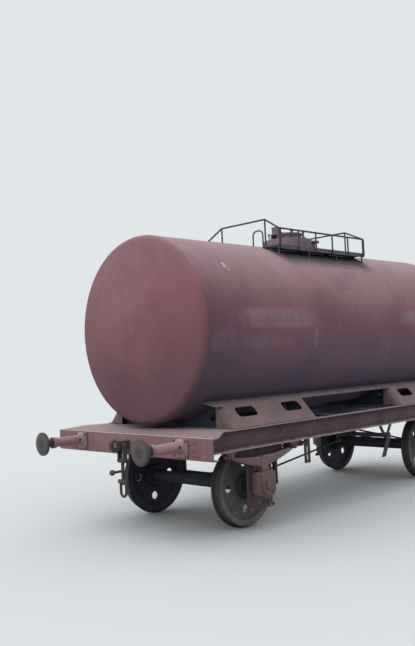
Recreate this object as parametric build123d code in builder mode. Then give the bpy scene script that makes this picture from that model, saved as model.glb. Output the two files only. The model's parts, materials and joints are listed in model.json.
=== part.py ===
from build123d import *
from math import asin, atan2, cos, hypot, radians, sin, sqrt
import os

# Four-wheel railway tank wagon with side buffers, in millimetres.
# +X runs along the track from end a (-X) to end b (+X), +Y to the left, +Z up.
# The origin is midway along the wagon, level with the lowest point of the wheel flanges.

os.makedirs("parts", exist_ok=True)

# Wheels, axles and springs
wheelbase = 4420
axle_x = wheelbase / 2
tread_radius = 500
flange_depth = 28
axle_z = tread_radius + flange_depth
wheel_back_y = 800
wheel_width = 130
hub_front_y = 950
seat_radius = 90
axle_radius = 78
journal_radius = 60
journal_end_y = 1262
spring_y = 1205
spring_width = 86

# Underframe of rolled channels
end_x = 6706 / 2
headstock_half = 1500
headstock_top = 1256
channel_depth = 254
channel_width = 90
web_thick = 10
flange_thick = 14
sole_top = 1290
sole_bottom = sole_top - channel_depth
sole_web_y = 1150
sole_edge_y = sole_web_y + 100
centre_sill_y = 150
bearer_depth = 150
deck_thick = 8

# Tank and what it rests on
tank_radius = 1215
tank_z = 2558
barrel_half = 3030
crown_radius = 5500
knuckle_radius = 90
seam_gap = 0.2
shelf_half = 2800
shelf_root = (767, 1617)
shelf_edge = (1010, 1571)
shelf_thick = 12
saddle_foot = (1247, 1300)
saddle_x = 1880
saddle_half = 825
plate = 10

# Buffers and drawgear
buffer_y = 978
buffer_z = 1153
buffer_reach = 635
casing_reach = 470
drawgear_z = 1133

# Manhole, walkway and rails on the crown
drum_radius = 375
drum_top = 3942
neck_radius = 224
neck_bore = 196
neck_top = 4016
lid_radius = 238
lid_hinge_x = -282
walk_half = 1075
walk_inner_y = 424
walk_edge_y = 700
walk_top = 3728
plank_thick = 30
rail_half = 1030
rail_y = 714
rail_z = 3950
hip_y = ((-455, 405), (-365, 500))
hip_z = 4110
rail_radius = 13

sides = (1, -1)
ends = ((-1, "a"), (1, "b"))


def side_plane(y):
    """Upright plane along the wagon, sketched in (x, z)."""
    return Plane.XZ.offset(-y)


def cross_plane(x):
    """Upright plane across the wagon, sketched in (y, z)."""
    return Plane.YZ.offset(x)


def crown_z(y):
    """Height of the top of the tank at a distance y from its middle."""
    return tank_z + sqrt(tank_radius**2 - y**2)


def belly_z(y):
    """Height of the underside of the tank at a distance y from its middle."""
    return tank_z - sqrt(tank_radius**2 - y**2)


def shelf_under_z(y):
    """Height of the underside of the tank's shelf at a distance y from the middle."""
    slope = (shelf_root[1] - shelf_edge[1]) / (shelf_edge[0] - shelf_root[0])
    return shelf_root[1] - (y - shelf_root[0]) * slope - shelf_thick


def channel_outline(web_at, bottom, top, width):
    """Points of a rolled channel: its web's back at web_at, its flanges reaching by width."""
    out = 1 if width > 0 else -1
    face, tip = web_at + out * web_thick, web_at + width
    toe, root = flange_thick * 0.75, flange_thick * 1.25
    return (
        (web_at, bottom), (tip, bottom), (tip, bottom + toe), (face, bottom + root),
        (face, top - root), (tip, top - toe), (tip, top), (web_at, top),
    )


def export(builder, label):
    """Label a finished piece and write it."""
    builder.part.label = label
    export_step(builder.part, f"parts/{label}.step")


# Tank barrel with dished ends, turned about its own axis
dish_turn = asin((tank_radius - knuckle_radius) / (crown_radius - knuckle_radius))
dish_centre_x = barrel_half - (crown_radius - knuckle_radius) * cos(dish_turn)
tank_axis = Axis((0, 0, tank_z), (1, 0, 0))


def dish_point(turn):
    """Point on the dished end, by its angle from the tank's axis."""
    return (dish_centre_x + crown_radius * cos(turn), tank_z + crown_radius * sin(turn))


def knuckle_point(turn):
    """Point on the rounded corner between dished end and barrel."""
    rise = tank_radius - knuckle_radius + knuckle_radius * sin(turn)
    return (barrel_half + knuckle_radius * cos(turn), tank_z + rise)


with BuildPart() as tank_barrel:
    with BuildSketch(side_plane(0)):
        with BuildLine():
            Polyline((0, tank_z + tank_radius), (0, tank_z), dish_point(0))
            ThreePointArc(dish_point(0), dish_point(dish_turn / 2), dish_point(dish_turn))
            ThreePointArc(dish_point(dish_turn), knuckle_point((dish_turn + radians(90)) / 2),
                          knuckle_point(radians(90)))
            Line(knuckle_point(radians(90)), (0, tank_z + tank_radius))
        make_face()
    revolve(axis=tank_axis)
    mirror(about=Plane.YZ)
export(tank_barrel, "tank_barrel")

# Sloping shelves welded along the tank, which the saddles carry
shelf_inner_y = 740
with BuildPart() as tank_shelves:
    with BuildSketch(cross_plane(-shelf_half)):
        with BuildLine():
            Polyline(
                (shelf_inner_y, shelf_under_z(shelf_inner_y)), (shelf_edge[0], shelf_under_z(shelf_edge[0])),
                shelf_edge, (shelf_inner_y, shelf_under_z(shelf_inner_y) + shelf_thick), close=True,
            )
        make_face()
        with Locations((0, tank_z)):
            Circle(tank_radius + seam_gap, mode=Mode.SUBTRACT)
    extrude(amount=2 * shelf_half)
    mirror(about=Plane.XZ)
export(tank_shelves, "tank_shelves")

# Pressed saddle pans between the shelves and the sole bars: a slanted face with two long holes,
# bent round at both ends, open inwards
saddle_inner_y = 925
saddle_head = (shelf_edge[0], shelf_under_z(shelf_edge[0]))
saddle_tilt = atan2(saddle_head[1] - saddle_foot[1], saddle_foot[0] - saddle_head[0])
saddle_face = Plane(origin=(saddle_x, *saddle_head), x_dir=(1, 0, 0),
                    z_dir=(0, sin(saddle_tilt), cos(saddle_tilt)))
saddle_bend = 95
hole_size = (365, 155)
hole_spacing = 890
hole_drop = 110

with BuildPart() as saddle_pan:
    with BuildSketch(cross_plane(saddle_x - saddle_half)):
        with BuildLine():
            Polyline((saddle_inner_y, shelf_under_z(saddle_inner_y)), saddle_head, saddle_foot,
                     (saddle_inner_y, saddle_foot[1]), close=True)
        make_face()
    extrude(amount=2 * saddle_half)
    slanted = saddle_pan.faces().sort_by(Axis.Y)[-1].edges().sort_by(Axis.X)
    fillet((slanted[0], slanted[-1]), saddle_bend)
    upwards = saddle_pan.faces().sort_by(Axis.Z)
    offset(amount=-plate, openings=(saddle_pan.faces().sort_by(Axis.Y)[0], upwards[0], upwards[-1]))
    with BuildSketch(saddle_face):
        with Locations((-hole_spacing / 2, hole_drop), (hole_spacing / 2, hole_drop)):
            RectangleRounded(hole_size[0], hole_size[1], 60)
    extrude(amount=2 * plate, both=True, mode=Mode.SUBTRACT)
with BuildPart() as saddle_pans:
    add(saddle_pan.part)
    with BuildSketch(Plane.XY.offset(sole_top)):
        with Locations((saddle_x, sole_edge_y - 80)):
            Rectangle(2 * saddle_half, 160)
    extrude(amount=saddle_foot[1] - sole_top)
    mirror(about=Plane.YZ)
    mirror(about=Plane.XZ)
export(saddle_pans, "saddle_pans")

# Upright cradles across the frame, cut to the tank's curve and passing under the shelves
cradle_x = (1188, 2588)
cradle_thick = 14
cradle_edge = ((1075, sole_top), (960, 1535), (960, shelf_under_z(960)),
               (shelf_inner_y, shelf_under_z(shelf_inner_y)))
with BuildPart() as cradles:
    for x in cradle_x:
        with BuildSketch(cross_plane(x)):
            with BuildLine():
                Polyline(*cradle_edge, *[(-y, z) for y, z in reversed(cradle_edge)], close=True)
            make_face()
            with Locations((0, tank_z)):
                Circle(tank_radius + seam_gap, mode=Mode.SUBTRACT)
            with Locations((-760, 1420), (760, 1420)):
                Circle(55, mode=Mode.SUBTRACT)
        extrude(amount=cradle_thick / 2, both=True)
    mirror(about=Plane.YZ)
export(cradles, "cradles")

# Sole bars and centre sills: channels coped into the headstocks and cut below the end decks
sole_half = end_x - channel_width - 1
deck_reach = 600
ramp = ((end_x - 330, sole_top), (end_x - 110, headstock_top), (end_x, headstock_top))
with BuildPart() as sole_bars:
    with BuildSketch(cross_plane(0)):
        with BuildLine():
            Polyline(*channel_outline(sole_web_y, sole_bottom, sole_top, sole_edge_y - sole_web_y),
                     close=True)
        make_face()
    extrude(amount=sole_half)
    with BuildSketch(side_plane(sole_web_y + web_thick)):
        with Locations((end_x / 2, (sole_bottom + headstock_top) / 2)):
            Rectangle(end_x - 2 * web_thick, headstock_top - sole_bottom - 2 * flange_thick - 8)
    extrude(amount=web_thick)
    with BuildSketch(side_plane(sole_edge_y)):
        with BuildLine():
            Polyline(*ramp, (end_x, sole_top), close=True)
        make_face()
    extrude(amount=sole_edge_y - sole_web_y, mode=Mode.SUBTRACT)
    mirror(about=Plane.YZ)
    mirror(about=Plane.XZ)
export(sole_bars, "sole_bars")

with BuildPart() as centre_sills:
    with BuildSketch(cross_plane(0)):
        with BuildLine():
            Polyline(*channel_outline(centre_sill_y, sole_bottom, sole_top, channel_width), close=True)
        make_face()
    extrude(amount=sole_half)
    with BuildSketch(side_plane(centre_sill_y + channel_width)):
        with BuildLine():
            Polyline(*ramp, (end_x, sole_top), close=True)
        make_face()
    extrude(amount=channel_width, mode=Mode.SUBTRACT)
    mirror(about=Plane.YZ)
    mirror(about=Plane.XZ)
export(centre_sills, "centre_sills")

# Headstocks: channels with their webs outwards, a slot for the draw hook in the middle
headstock_bottom = headstock_top - channel_depth
with BuildPart() as headstocks:
    with BuildSketch(side_plane(headstock_half)):
        with BuildLine():
            Polyline(*channel_outline(end_x, headstock_bottom, headstock_top, -channel_width), close=True)
        make_face()
    extrude(amount=2 * headstock_half)
    with BuildSketch(cross_plane(end_x)):
        with Locations((0, drawgear_z)):
            Rectangle(50, 100)
    extrude(amount=-2 * web_thick, mode=Mode.SUBTRACT)
    mirror(about=Plane.YZ)
export(headstocks, "headstocks")

# End decks: plates on the headstocks that ramp up to the sole bars and narrow to their width
deck_ends = ((end_x, headstock_half), (end_x - 95, headstock_half), (end_x - 480, sole_edge_y),
             (end_x - deck_reach, sole_edge_y))
with BuildPart() as end_decks:
    with BuildSketch(side_plane(headstock_half)):
        with BuildLine():
            Polyline(*ramp, (end_x, headstock_top + deck_thick), (end_x - 108, headstock_top + deck_thick),
                     (end_x - 328, sole_top + deck_thick), (end_x - deck_reach, sole_top + deck_thick),
                     (end_x - deck_reach, sole_top), close=True)
        make_face()
    extrude(amount=2 * headstock_half)
    with BuildSketch(Plane.XY.offset(headstock_top)):
        with BuildLine():
            Polyline(*deck_ends, *[(x, -y) for x, y in reversed(deck_ends)], close=True)
        make_face()
    extrude(amount=100, mode=Mode.INTERSECT)
    mirror(about=Plane.YZ)
export(end_decks, "end_decks")

# Cross bearers between centre sills and sole bars, or the axle guards on their backs
guard_thick = 20
guard_back_y = sole_web_y - guard_thick
bearers = (
    # x, outer end
    (520, sole_web_y),
    (cradle_x[0], sole_web_y),
    (1610, guard_back_y),
    (cradle_x[1], guard_back_y),
    (2960, sole_web_y),
)
bearer_inner_y = centre_sill_y + channel_width
bearer_half = 35
with BuildPart() as cross_bearers:
    for x, outer_y in bearers:
        with BuildSketch(side_plane(outer_y)):
            with BuildLine():
                Polyline(*channel_outline(x - bearer_half, sole_top - bearer_depth, sole_top,
                                          2 * bearer_half), close=True)
            make_face()
        extrude(amount=outer_y - bearer_inner_y)
    mirror(about=Plane.YZ)
    mirror(about=Plane.XZ)
export(cross_bearers, "cross_bearers")

# Struts behind the buffers, from the headstocks to the cross bearers
strut_spans = ((cradle_x[1] + bearer_half, 2960 - bearer_half), (2960 + bearer_half, end_x - web_thick))
with BuildPart() as buffer_struts:
    for start_x, end_of_strut_x in strut_spans:
        with BuildSketch(cross_plane(start_x)):
            with Locations((buffer_y, buffer_z + 15)):
                Rectangle(60, 50)
        extrude(amount=end_of_strut_x - start_x)
    mirror(about=Plane.YZ)
    mirror(about=Plane.XZ)
export(buffer_struts, "buffer_struts")

# Buffer casings with square feet and a hole near the root, and the sprung heads in them
casing_profile = ((0, 92), (20, 92), (46, 72), (100, 63), (casing_reach - 44, 59), (casing_reach - 44, 72),
                  (casing_reach, 72), (casing_reach, 0), (0, 0))
with BuildPart() as buffer_casings:
    with BuildSketch(side_plane(buffer_y)):
        with BuildLine():
            Polyline(*[(end_x + x, buffer_z + r) for x, r in casing_profile], close=True)
        make_face()
    revolve(axis=Axis((0, buffer_y, buffer_z), (1, 0, 0)))
    with BuildSketch(cross_plane(end_x)):
        with Locations((buffer_y, headstock_top - 118)):
            RectangleRounded(250, 216, 25)
    extrude(amount=20)
    with BuildSketch(side_plane(buffer_y + 80)):
        with Locations((end_x + 78, buffer_z)):
            Circle(16)
    extrude(amount=160, mode=Mode.SUBTRACT)
    mirror(about=Plane.YZ)
    mirror(about=Plane.XZ)
export(buffer_casings, "buffer_casings")

head_profile = ((casing_reach, 0), (casing_reach, 48), (buffer_reach - 76, 48), (buffer_reach - 54, 74),
                (buffer_reach - 40, 148), (buffer_reach - 18, 150), (buffer_reach - 7, 132),
                (buffer_reach, 80), (buffer_reach, 0))
with BuildPart() as buffer_heads:
    with BuildSketch(side_plane(buffer_y)):
        with BuildLine():
            Polyline(*[(end_x + x, buffer_z + r) for x, r in head_profile], close=True)
        make_face()
    revolve(axis=Axis((0, buffer_y, buffer_z), (1, 0, 0)))
    mirror(about=Plane.YZ)
    mirror(about=Plane.XZ)
export(buffer_heads, "buffer_heads")

# Draw hooks, flat forgings through the headstocks
hook_x = end_x + 205
with BuildPart() as draw_hooks:
    with BuildSketch(side_plane(0)):
        with Locations(((end_x - 180 + hook_x) / 2, drawgear_z)):
            Rectangle(hook_x - end_x + 180, 96)
        with Locations((hook_x, drawgear_z)):
            Circle(78)
        with Locations((hook_x, drawgear_z + 12)):
            Circle(34, mode=Mode.SUBTRACT)
        with Locations((hook_x - 26, drawgear_z + 62)):
            Rectangle(38, 100, rotation=24, mode=Mode.SUBTRACT)
        with Locations((hook_x - 110, drawgear_z)):
            Circle(21, mode=Mode.SUBTRACT)
    extrude(amount=23, both=True)
    mirror(about=Plane.YZ)
export(draw_hooks, "draw_hooks")

# Screw couplings hanging from the hooks
link_x = hook_x - 110
link_y = 52
nut_z = (drawgear_z - 190, drawgear_z - 450)
with BuildPart() as screw_couplings:
    with BuildSketch(side_plane(link_y + 20)):
        with Locations((link_x, drawgear_z)):
            Circle(20)
    extrude(amount=2 * (link_y + 20))
    for side in sides:
        with BuildSketch(side_plane(side * link_y)):
            with Locations((link_x, (drawgear_z + nut_z[0]) / 2)):
                SlotCenterToCenter(drawgear_z - nut_z[0], 62, rotation=90)
        extrude(amount=10, both=True)
    for z in nut_z:
        with BuildSketch(side_plane(link_y + 26)):
            with Locations((link_x, z)):
                Circle(26)
        extrude(amount=2 * (link_y + 26))
    with BuildSketch(Plane.XY.offset(nut_z[1] - 40)):
        with Locations((link_x, 0)):
            Circle(20)
    extrude(amount=nut_z[0] - nut_z[1] + 80)
    with BuildLine() as shackle_path:
        Line((link_x, link_y, nut_z[1]), (link_x, link_y, nut_z[1] - 130))
        ThreePointArc((link_x, link_y, nut_z[1] - 130), (link_x, 0, nut_z[1] - 130 - link_y),
                      (link_x, -link_y, nut_z[1] - 130))
        Line((link_x, -link_y, nut_z[1] - 130), (link_x, -link_y, nut_z[1]))
    with BuildSketch(Plane(origin=(link_x, link_y, nut_z[1]), z_dir=(0, 0, -1))):
        Circle(17)
    sweep(path=shackle_path.wires()[0])
    with BuildSketch(cross_plane(link_x)):
        with Locations((0, (nut_z[0] + nut_z[1]) / 2)):
            Circle(16)
    extrude(amount=150)
    with Locations((link_x + 165, 0, (nut_z[0] + nut_z[1]) / 2)):
        Sphere(36)
    mirror(about=Plane.YZ)
export(screw_couplings, "screw_couplings")

# Axle guards: forked plates on the backs of the sole bars, closed by a keep below each axle box
guard_half = ((640, 1275), (640, 1010), (565, 925), (232, 830), (222, 300))
guard_slot_x = 480
guard_gap = 133
with BuildPart() as axle_guards:
    with BuildSketch(side_plane(sole_web_y)):
        with BuildLine():
            Polyline(*[(axle_x + x, z) for x, z in guard_half],
                     *[(axle_x - x, z) for x, z in reversed(guard_half)], close=True)
        make_face()
        with Locations((axle_x, 510)):
            Rectangle(2 * guard_gap, 470, mode=Mode.SUBTRACT)
        with Locations((axle_x, 745)):
            Circle(guard_gap, mode=Mode.SUBTRACT)
        with Locations((axle_x - guard_slot_x, 984), (axle_x + guard_slot_x, 984)):
            SlotOverall(62, 34, rotation=90, mode=Mode.SUBTRACT)
    extrude(amount=guard_thick)
    with BuildSketch(side_plane(sole_web_y - 2)):
        with Locations((axle_x, 286)):
            RectangleRounded(540, 46, 12)
    extrude(amount=guard_thick - 4)
    mirror(about=Plane.YZ)
    mirror(about=Plane.XZ)
export(axle_guards, "axle_guards")

# Laminated springs: each leaf is a thick arc, the longest on top with rolled eyes
leaf_thick = 12
leaf_halves = (585, 560, 500, 440, 380, 320, 260, 200, 140)
spring_top = 915
spring_camber = 48
bend_radius = (leaf_halves[0] ** 2 + spring_camber**2) / (2 * spring_camber)
bend_z = spring_top + bend_radius
eye_radius = 27
eye_x = leaf_halves[0] + 8
eye_z = spring_top + spring_camber + eye_radius - 14
buckle_span = (756, 930)


def leaf_point(radius, turn):
    """Point on an arc of the spring about its centre of bend."""
    return (axle_x + radius * sin(turn), bend_z - radius * cos(turn))


with BuildPart() as leaf_springs:
    with BuildSketch(side_plane(spring_y + spring_width / 2)):
        for i, half in enumerate(leaf_halves):
            upper = bend_radius + i * leaf_thick
            lower = upper + leaf_thick
            turn = half / bend_radius
            with BuildLine():
                ThreePointArc(*[leaf_point(upper, t) for t in (-turn, 0, turn)])
                Line(leaf_point(upper, turn), leaf_point(lower, turn))
                ThreePointArc(*[leaf_point(lower, t) for t in (turn, 0, -turn)])
                Line(leaf_point(lower, -turn), leaf_point(upper, -turn))
            make_face()
        with Locations((axle_x - eye_x, eye_z), (axle_x + eye_x, eye_z)):
            Circle(eye_radius)
            Circle(15, mode=Mode.SUBTRACT)
    extrude(amount=spring_width)
    with BuildSketch(side_plane(spring_y + 50)):
        with Locations((axle_x, (buckle_span[0] + buckle_span[1]) / 2)):
            Rectangle(120, buckle_span[1] - buckle_span[0])
    extrude(amount=100)
    mirror(about=Plane.YZ)
    mirror(about=Plane.XZ)
export(leaf_springs, "leaf_springs")

# Hangers that carry the spring eyes below the sole bars, with their pins
cheek_y = (spring_y - 54, spring_y + 44)
with BuildPart() as spring_hangers:
    for x in (axle_x - eye_x, axle_x + eye_x):
        for y in cheek_y:
            with BuildSketch(side_plane(y + 10)):
                with BuildLine():
                    Polyline((x - 75, sole_bottom), (x + 75, sole_bottom), (x + 34, eye_z), (x - 34, eye_z),
                             close=True)
                make_face()
                with Locations((x, eye_z)):
                    Circle(34)
            extrude(amount=10)
        with BuildSketch(side_plane(cheek_y[1] + 26)):
            with Locations((x, eye_z)):
                Circle(14)
        extrude(amount=cheek_y[1] - cheek_y[0] + 26)
        with BuildSketch(side_plane(cheek_y[1] + 30)):
            with Locations((x, eye_z)):
                RegularPolygon(25, 6)
        extrude(amount=20)
        with BuildSketch(Plane.XY.offset(sole_bottom - 12)):
            with Locations((x, spring_y)):
                Rectangle(150, 108)
        extrude(amount=12)
    mirror(about=Plane.YZ)
    mirror(about=Plane.XZ)
export(spring_hangers, "spring_hangers")

# Axle boxes, cast, grooved to slide on the axle guards, with round front covers
box_back_y = 1080
box_front_y = 1285
groove_y = (1122, 1157)
box_half = 125
lug_half = 160
with BuildPart() as axle_boxes:
    with BuildSketch(side_plane(box_front_y)):
        with Locations((axle_x, axle_z)):
            Circle(box_half)
        with Locations((axle_x, axle_z + 100)):
            Rectangle(2 * box_half, 200)
    extrude(amount=box_front_y - box_back_y)
    for front_y, back_y in ((box_front_y - 12, groove_y[1]), (groove_y[0], box_back_y)):
        with BuildSketch(side_plane(front_y)):
            with Locations((axle_x, axle_z + 62)):
                RectangleRounded(2 * lug_half, 276, 26)
        extrude(amount=front_y - back_y)
    with BuildSketch(side_plane(spring_y + 47)):
        with Locations((axle_x, axle_z + 214)):
            Rectangle(150, 28)
    extrude(amount=94)
    for cover_radius, cover_rise, cover_reach in ((108, 20, 20), (60, 50, 42)):
        with BuildSketch(side_plane(box_front_y + cover_reach)):
            with Locations((axle_x, axle_z + cover_rise)):
                Circle(cover_radius)
        extrude(amount=cover_reach)
    with BuildSketch(side_plane(journal_end_y + 6)):
        with Locations((axle_x, axle_z)):
            Circle(journal_radius + 1)
    extrude(amount=journal_end_y + 6 - box_back_y, mode=Mode.SUBTRACT)
    mirror(about=Plane.YZ)
    mirror(about=Plane.XZ)
export(axle_boxes, "axle_boxes")

# Axles, turned with journals, collars and wheel seats
seated_radius = seat_radius - 0.1
axle_steps = ((0, axle_radius), (760, axle_radius), (778, seated_radius), (hub_front_y + 4, seated_radius),
              (hub_front_y + 4, 76), (1062, 72), (1062, journal_radius), (journal_end_y, journal_radius),
              (journal_end_y, 0), (0, 0))
for end, name in ends:
    with BuildPart() as axle:
        with BuildSketch(cross_plane(end * axle_x)):
            with BuildLine():
                Polyline(*[(y, axle_z + r) for y, r in axle_steps], close=True)
            make_face()
        revolve(axis=Axis((end * axle_x, 0, axle_z), (0, 1, 0)))
        mirror(about=Plane.XZ)
    export(axle, f"axle_{name}")

# Disc wheels, turned from one outline with a coned tread and a flange, four holes in the disc
rim_front_y = wheel_back_y + wheel_width
flange_radius = tread_radius + flange_depth
disc_hole_radius = 55
disc_hole_ring = 292
wheel_outline = (
    (780, seat_radius), (hub_front_y, seat_radius), (hub_front_y, 138), (896, 156), (884, 418), (924, 428),
    (rim_front_y, 436), (rim_front_y, tread_radius - 3), (834, tread_radius + 2),
)
wheel_back = ((wheel_back_y, 436), (806, 428), (858, 418), (868, 156), (780, 140))
for end, name in ends:
    for side, side_name in ((1, "left"), (-1, "right")):
        with BuildPart() as wheel:
            with BuildSketch(cross_plane(end * axle_x)):
                with BuildLine():
                    Polyline(*[(side * y, axle_z + r) for y, r in wheel_outline])
                    ThreePointArc((side * 834, axle_z + tread_radius + 2),
                                  (side * 816, axle_z + flange_radius),
                                  (side * wheel_back_y, axle_z + tread_radius + 10))
                    Polyline((side * wheel_back_y, axle_z + tread_radius + 10),
                             *[(side * y, axle_z + r) for y, r in wheel_back],
                             (side * 780, axle_z + seat_radius))
                make_face()
            revolve(axis=Axis((end * axle_x, 0, axle_z), (0, 1, 0)))
            with BuildSketch(side_plane(side * 875 + 60)):
                with Locations((end * axle_x, axle_z)):
                    with PolarLocations(disc_hole_ring, 4, start_angle=0 if end < 0 else 45):
                        Circle(disc_hole_radius)
            extrude(amount=120, mode=Mode.SUBTRACT)
        export(wheel, f"wheel_{name}_{side_name}")

# Brake blocks at one side of each wheel, hung in pairs of straps from a cross bearer
block_y = 884
block_half = 40
block_gap = 9
block_thick = 50
block_wedge = ((0, 0), (900, 280), (900, -280))
brake_sets = (
    # end, x and z of the pin, x of the bearer above
    (-1, 610 - axle_x, axle_z - 40, -bearers[2][0]),
    (1, 610 + axle_x, axle_z - 10, bearers[4][0]),
)
with BuildPart() as brake_blocks:
    for end, pin_x, pin_z, bearer_x in brake_sets:
        with BuildSketch(side_plane(block_y + block_half)):
            with Locations((end * axle_x, axle_z)):
                Circle(tread_radius + block_gap + block_thick)
                Circle(tread_radius + block_gap, mode=Mode.SUBTRACT)
            with BuildLine():
                Polyline(*[(end * axle_x + x, pin_z + z) for x, z in block_wedge], close=True)
            make_face(mode=Mode.INTERSECT)
        extrude(amount=2 * block_half)
        with BuildSketch(side_plane(block_y + 12)):
            with Locations((pin_x - 30, pin_z)):
                Rectangle(90, 64)
        extrude(amount=24)
    mirror(about=Plane.XZ)
export(brake_blocks, "brake_blocks")

hanger_top_z = sole_top - bearer_depth
strap_thick = 12
with BuildPart() as brake_hangers:
    for end, pin_x, pin_z, bearer_x in brake_sets:
        for y in (block_y - 12, block_y + 12 + strap_thick):
            with BuildSketch(side_plane(y)):
                with BuildLine():
                    Polyline((bearer_x - 30, hanger_top_z), (bearer_x + 30, hanger_top_z),
                             (pin_x + 24, pin_z), (pin_x - 24, pin_z), close=True)
                make_face()
                with Locations((pin_x, pin_z)):
                    Circle(30)
            extrude(amount=strap_thick)
    mirror(about=Plane.XZ)
export(brake_hangers, "brake_hangers")

beam_end_y = block_y - 12 - strap_thick
beam_radius = 26
with BuildPart() as brake_beams:
    for end, pin_x, pin_z, bearer_x in brake_sets:
        with BuildSketch(side_plane(beam_end_y)):
            with Locations((pin_x, pin_z)):
                Circle(beam_radius)
        extrude(amount=2 * beam_end_y)
export(brake_beams, "brake_beams")

# Brake shaft across the frame in plates and forked brackets, with arms and a rod from each to a beam
shaft_x = 610
shaft_z = 878
arm_y = 340
arm_reach = 110
shaft_end_y = 1268
fork_spread = 112
fork_width = 62
with BuildPart() as brake_shaft:
    with BuildSketch(side_plane(shaft_end_y)):
        with Locations((shaft_x, shaft_z)):
            Circle(32)
    extrude(amount=2 * shaft_end_y)
    for y in (-188, 202):
        with BuildSketch(side_plane(y)):
            with BuildLine():
                Polyline((shaft_x - 110, sole_bottom), (shaft_x + 110, sole_bottom),
                         (shaft_x + 48, shaft_z - 48), (shaft_x - 48, shaft_z - 48), close=True)
            make_face()
        extrude(amount=14)
    for y in (1216, -1202):
        with BuildSketch(side_plane(y)):
            for side in sides:
                with BuildLine():
                    Polyline((shaft_x + side * fork_spread, sole_bottom),
                             (shaft_x + side * (fork_spread + fork_width), sole_bottom),
                             (shaft_x + side * 40, shaft_z - 34), (shaft_x - side * 16, shaft_z - 34),
                             close=True)
                make_face()
            with Locations((shaft_x, shaft_z)):
                Circle(46)
        extrude(amount=14)
    for y in (arm_y, -arm_y):
        with BuildSketch(side_plane(y + 9)):
            with Locations((shaft_x, shaft_z)):
                SlotCenterToCenter(2 * arm_reach, 64, rotation=90)
        extrude(amount=18)
    with BuildSketch(side_plane(14 - shaft_end_y)):
        with BuildLine():
            Polyline((shaft_x - 48, shaft_z), (shaft_x + 46, shaft_z - 14), (shaft_x - 118, shaft_z - 300),
                     (shaft_x - 214, shaft_z - 300), close=True)
        make_face()
        with Locations((shaft_x, shaft_z)):
            Circle(48)
    extrude(amount=14)
export(brake_shaft, "brake_shaft")

rod_radius = 14
rod_eye_half = 17
rod_y = arm_y + 9 + rod_eye_half
with BuildPart() as brake_rods:
    for end, pin_x, pin_z, bearer_x in brake_sets:
        arm_z = shaft_z + end * arm_reach
        run_x, run_z = pin_x - shaft_x, pin_z - arm_z
        with BuildSketch(Plane(origin=(shaft_x, rod_y, arm_z), x_dir=(0, 1, 0), z_dir=(run_x, 0, run_z))):
            Circle(rod_radius)
        extrude(amount=hypot(run_x, run_z) - beam_radius - seam_gap)
        with BuildSketch(side_plane(rod_y + rod_eye_half)):
            with Locations((shaft_x, arm_z)):
                Circle(26)
        extrude(amount=2 * rod_eye_half)
    mirror(about=Plane.XZ)
export(brake_rods, "brake_rods")

# Brake cylinder on the far side of the centre sills
cylinder_x, cylinder_y = -470, 640
with BuildPart() as brake_cylinder:
    for radius, bottom, top in ((190, 740, 1000), (205, 860, 885), (120, 700, 740), (24, 620, 700)):
        with BuildSketch(Plane.XY.offset(bottom)):
            with Locations((cylinder_x, cylinder_y)):
                Circle(radius)
        extrude(amount=top - bottom)
    with BuildSketch(Plane.XY.offset(1000)):
        with Locations((-bearers[0][0], cylinder_y)):
            Rectangle(70, 420)
    extrude(amount=sole_top - bearer_depth - 1000)
export(brake_cylinder, "brake_cylinder")

# Hand brake lever on the left, and the slotted guides below the sole bars
lever_y = shaft_end_y
rack_x = -380
with BuildPart() as hand_brake_lever:
    with BuildSketch(side_plane(lever_y + 14)):
        with BuildLine():
            Polyline((shaft_x, shaft_z + 42), (rack_x, 812), (rack_x - 260, 790), (rack_x - 260, 752),
                     (rack_x, 762), (shaft_x, shaft_z - 42), close=True)
        make_face()
        with Locations((shaft_x, shaft_z)):
            Circle(46)
    extrude(amount=14)
export(hand_brake_lever, "hand_brake_lever")

with BuildPart() as brake_guides:
    for x, y, bottom, width in ((rack_x, 1240, 600, 62), (-1310, -1202, 716, 116)):
        with BuildSketch(side_plane(y)):
            with Locations((x, (bottom + sole_bottom) / 2)):
                Rectangle(width, sole_bottom - bottom)
                with Locations((0, -30)):
                    SlotOverall(sole_bottom - bottom - 130, 26, rotation=90, mode=Mode.SUBTRACT)
        extrude(amount=14)
export(brake_guides, "brake_guides")

# Outlet under the middle of the tank, with a flange and a cap
outlet_profile = ((0, 1375), (115, 1375), (115, 1210), (72, 1170), (72, 795), (112, 795), (112, 765),
                  (92, 765), (92, 735), (0, 735))
with BuildPart() as outlet_valve:
    with BuildSketch(side_plane(0)):
        with BuildLine():
            Polyline(*outlet_profile, close=True)
        make_face()
    revolve(axis=Axis.Z)
    with BuildSketch(side_plane(90)):
        with Locations((0, 1000)):
            Circle(38)
    extrude(amount=90)
    with BuildSketch(cross_plane(-200)):
        with Locations((0, tank_z)):
            Circle(tank_radius + seam_gap)
    extrude(amount=400, mode=Mode.SUBTRACT)
export(outlet_valve, "outlet_valve")

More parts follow.
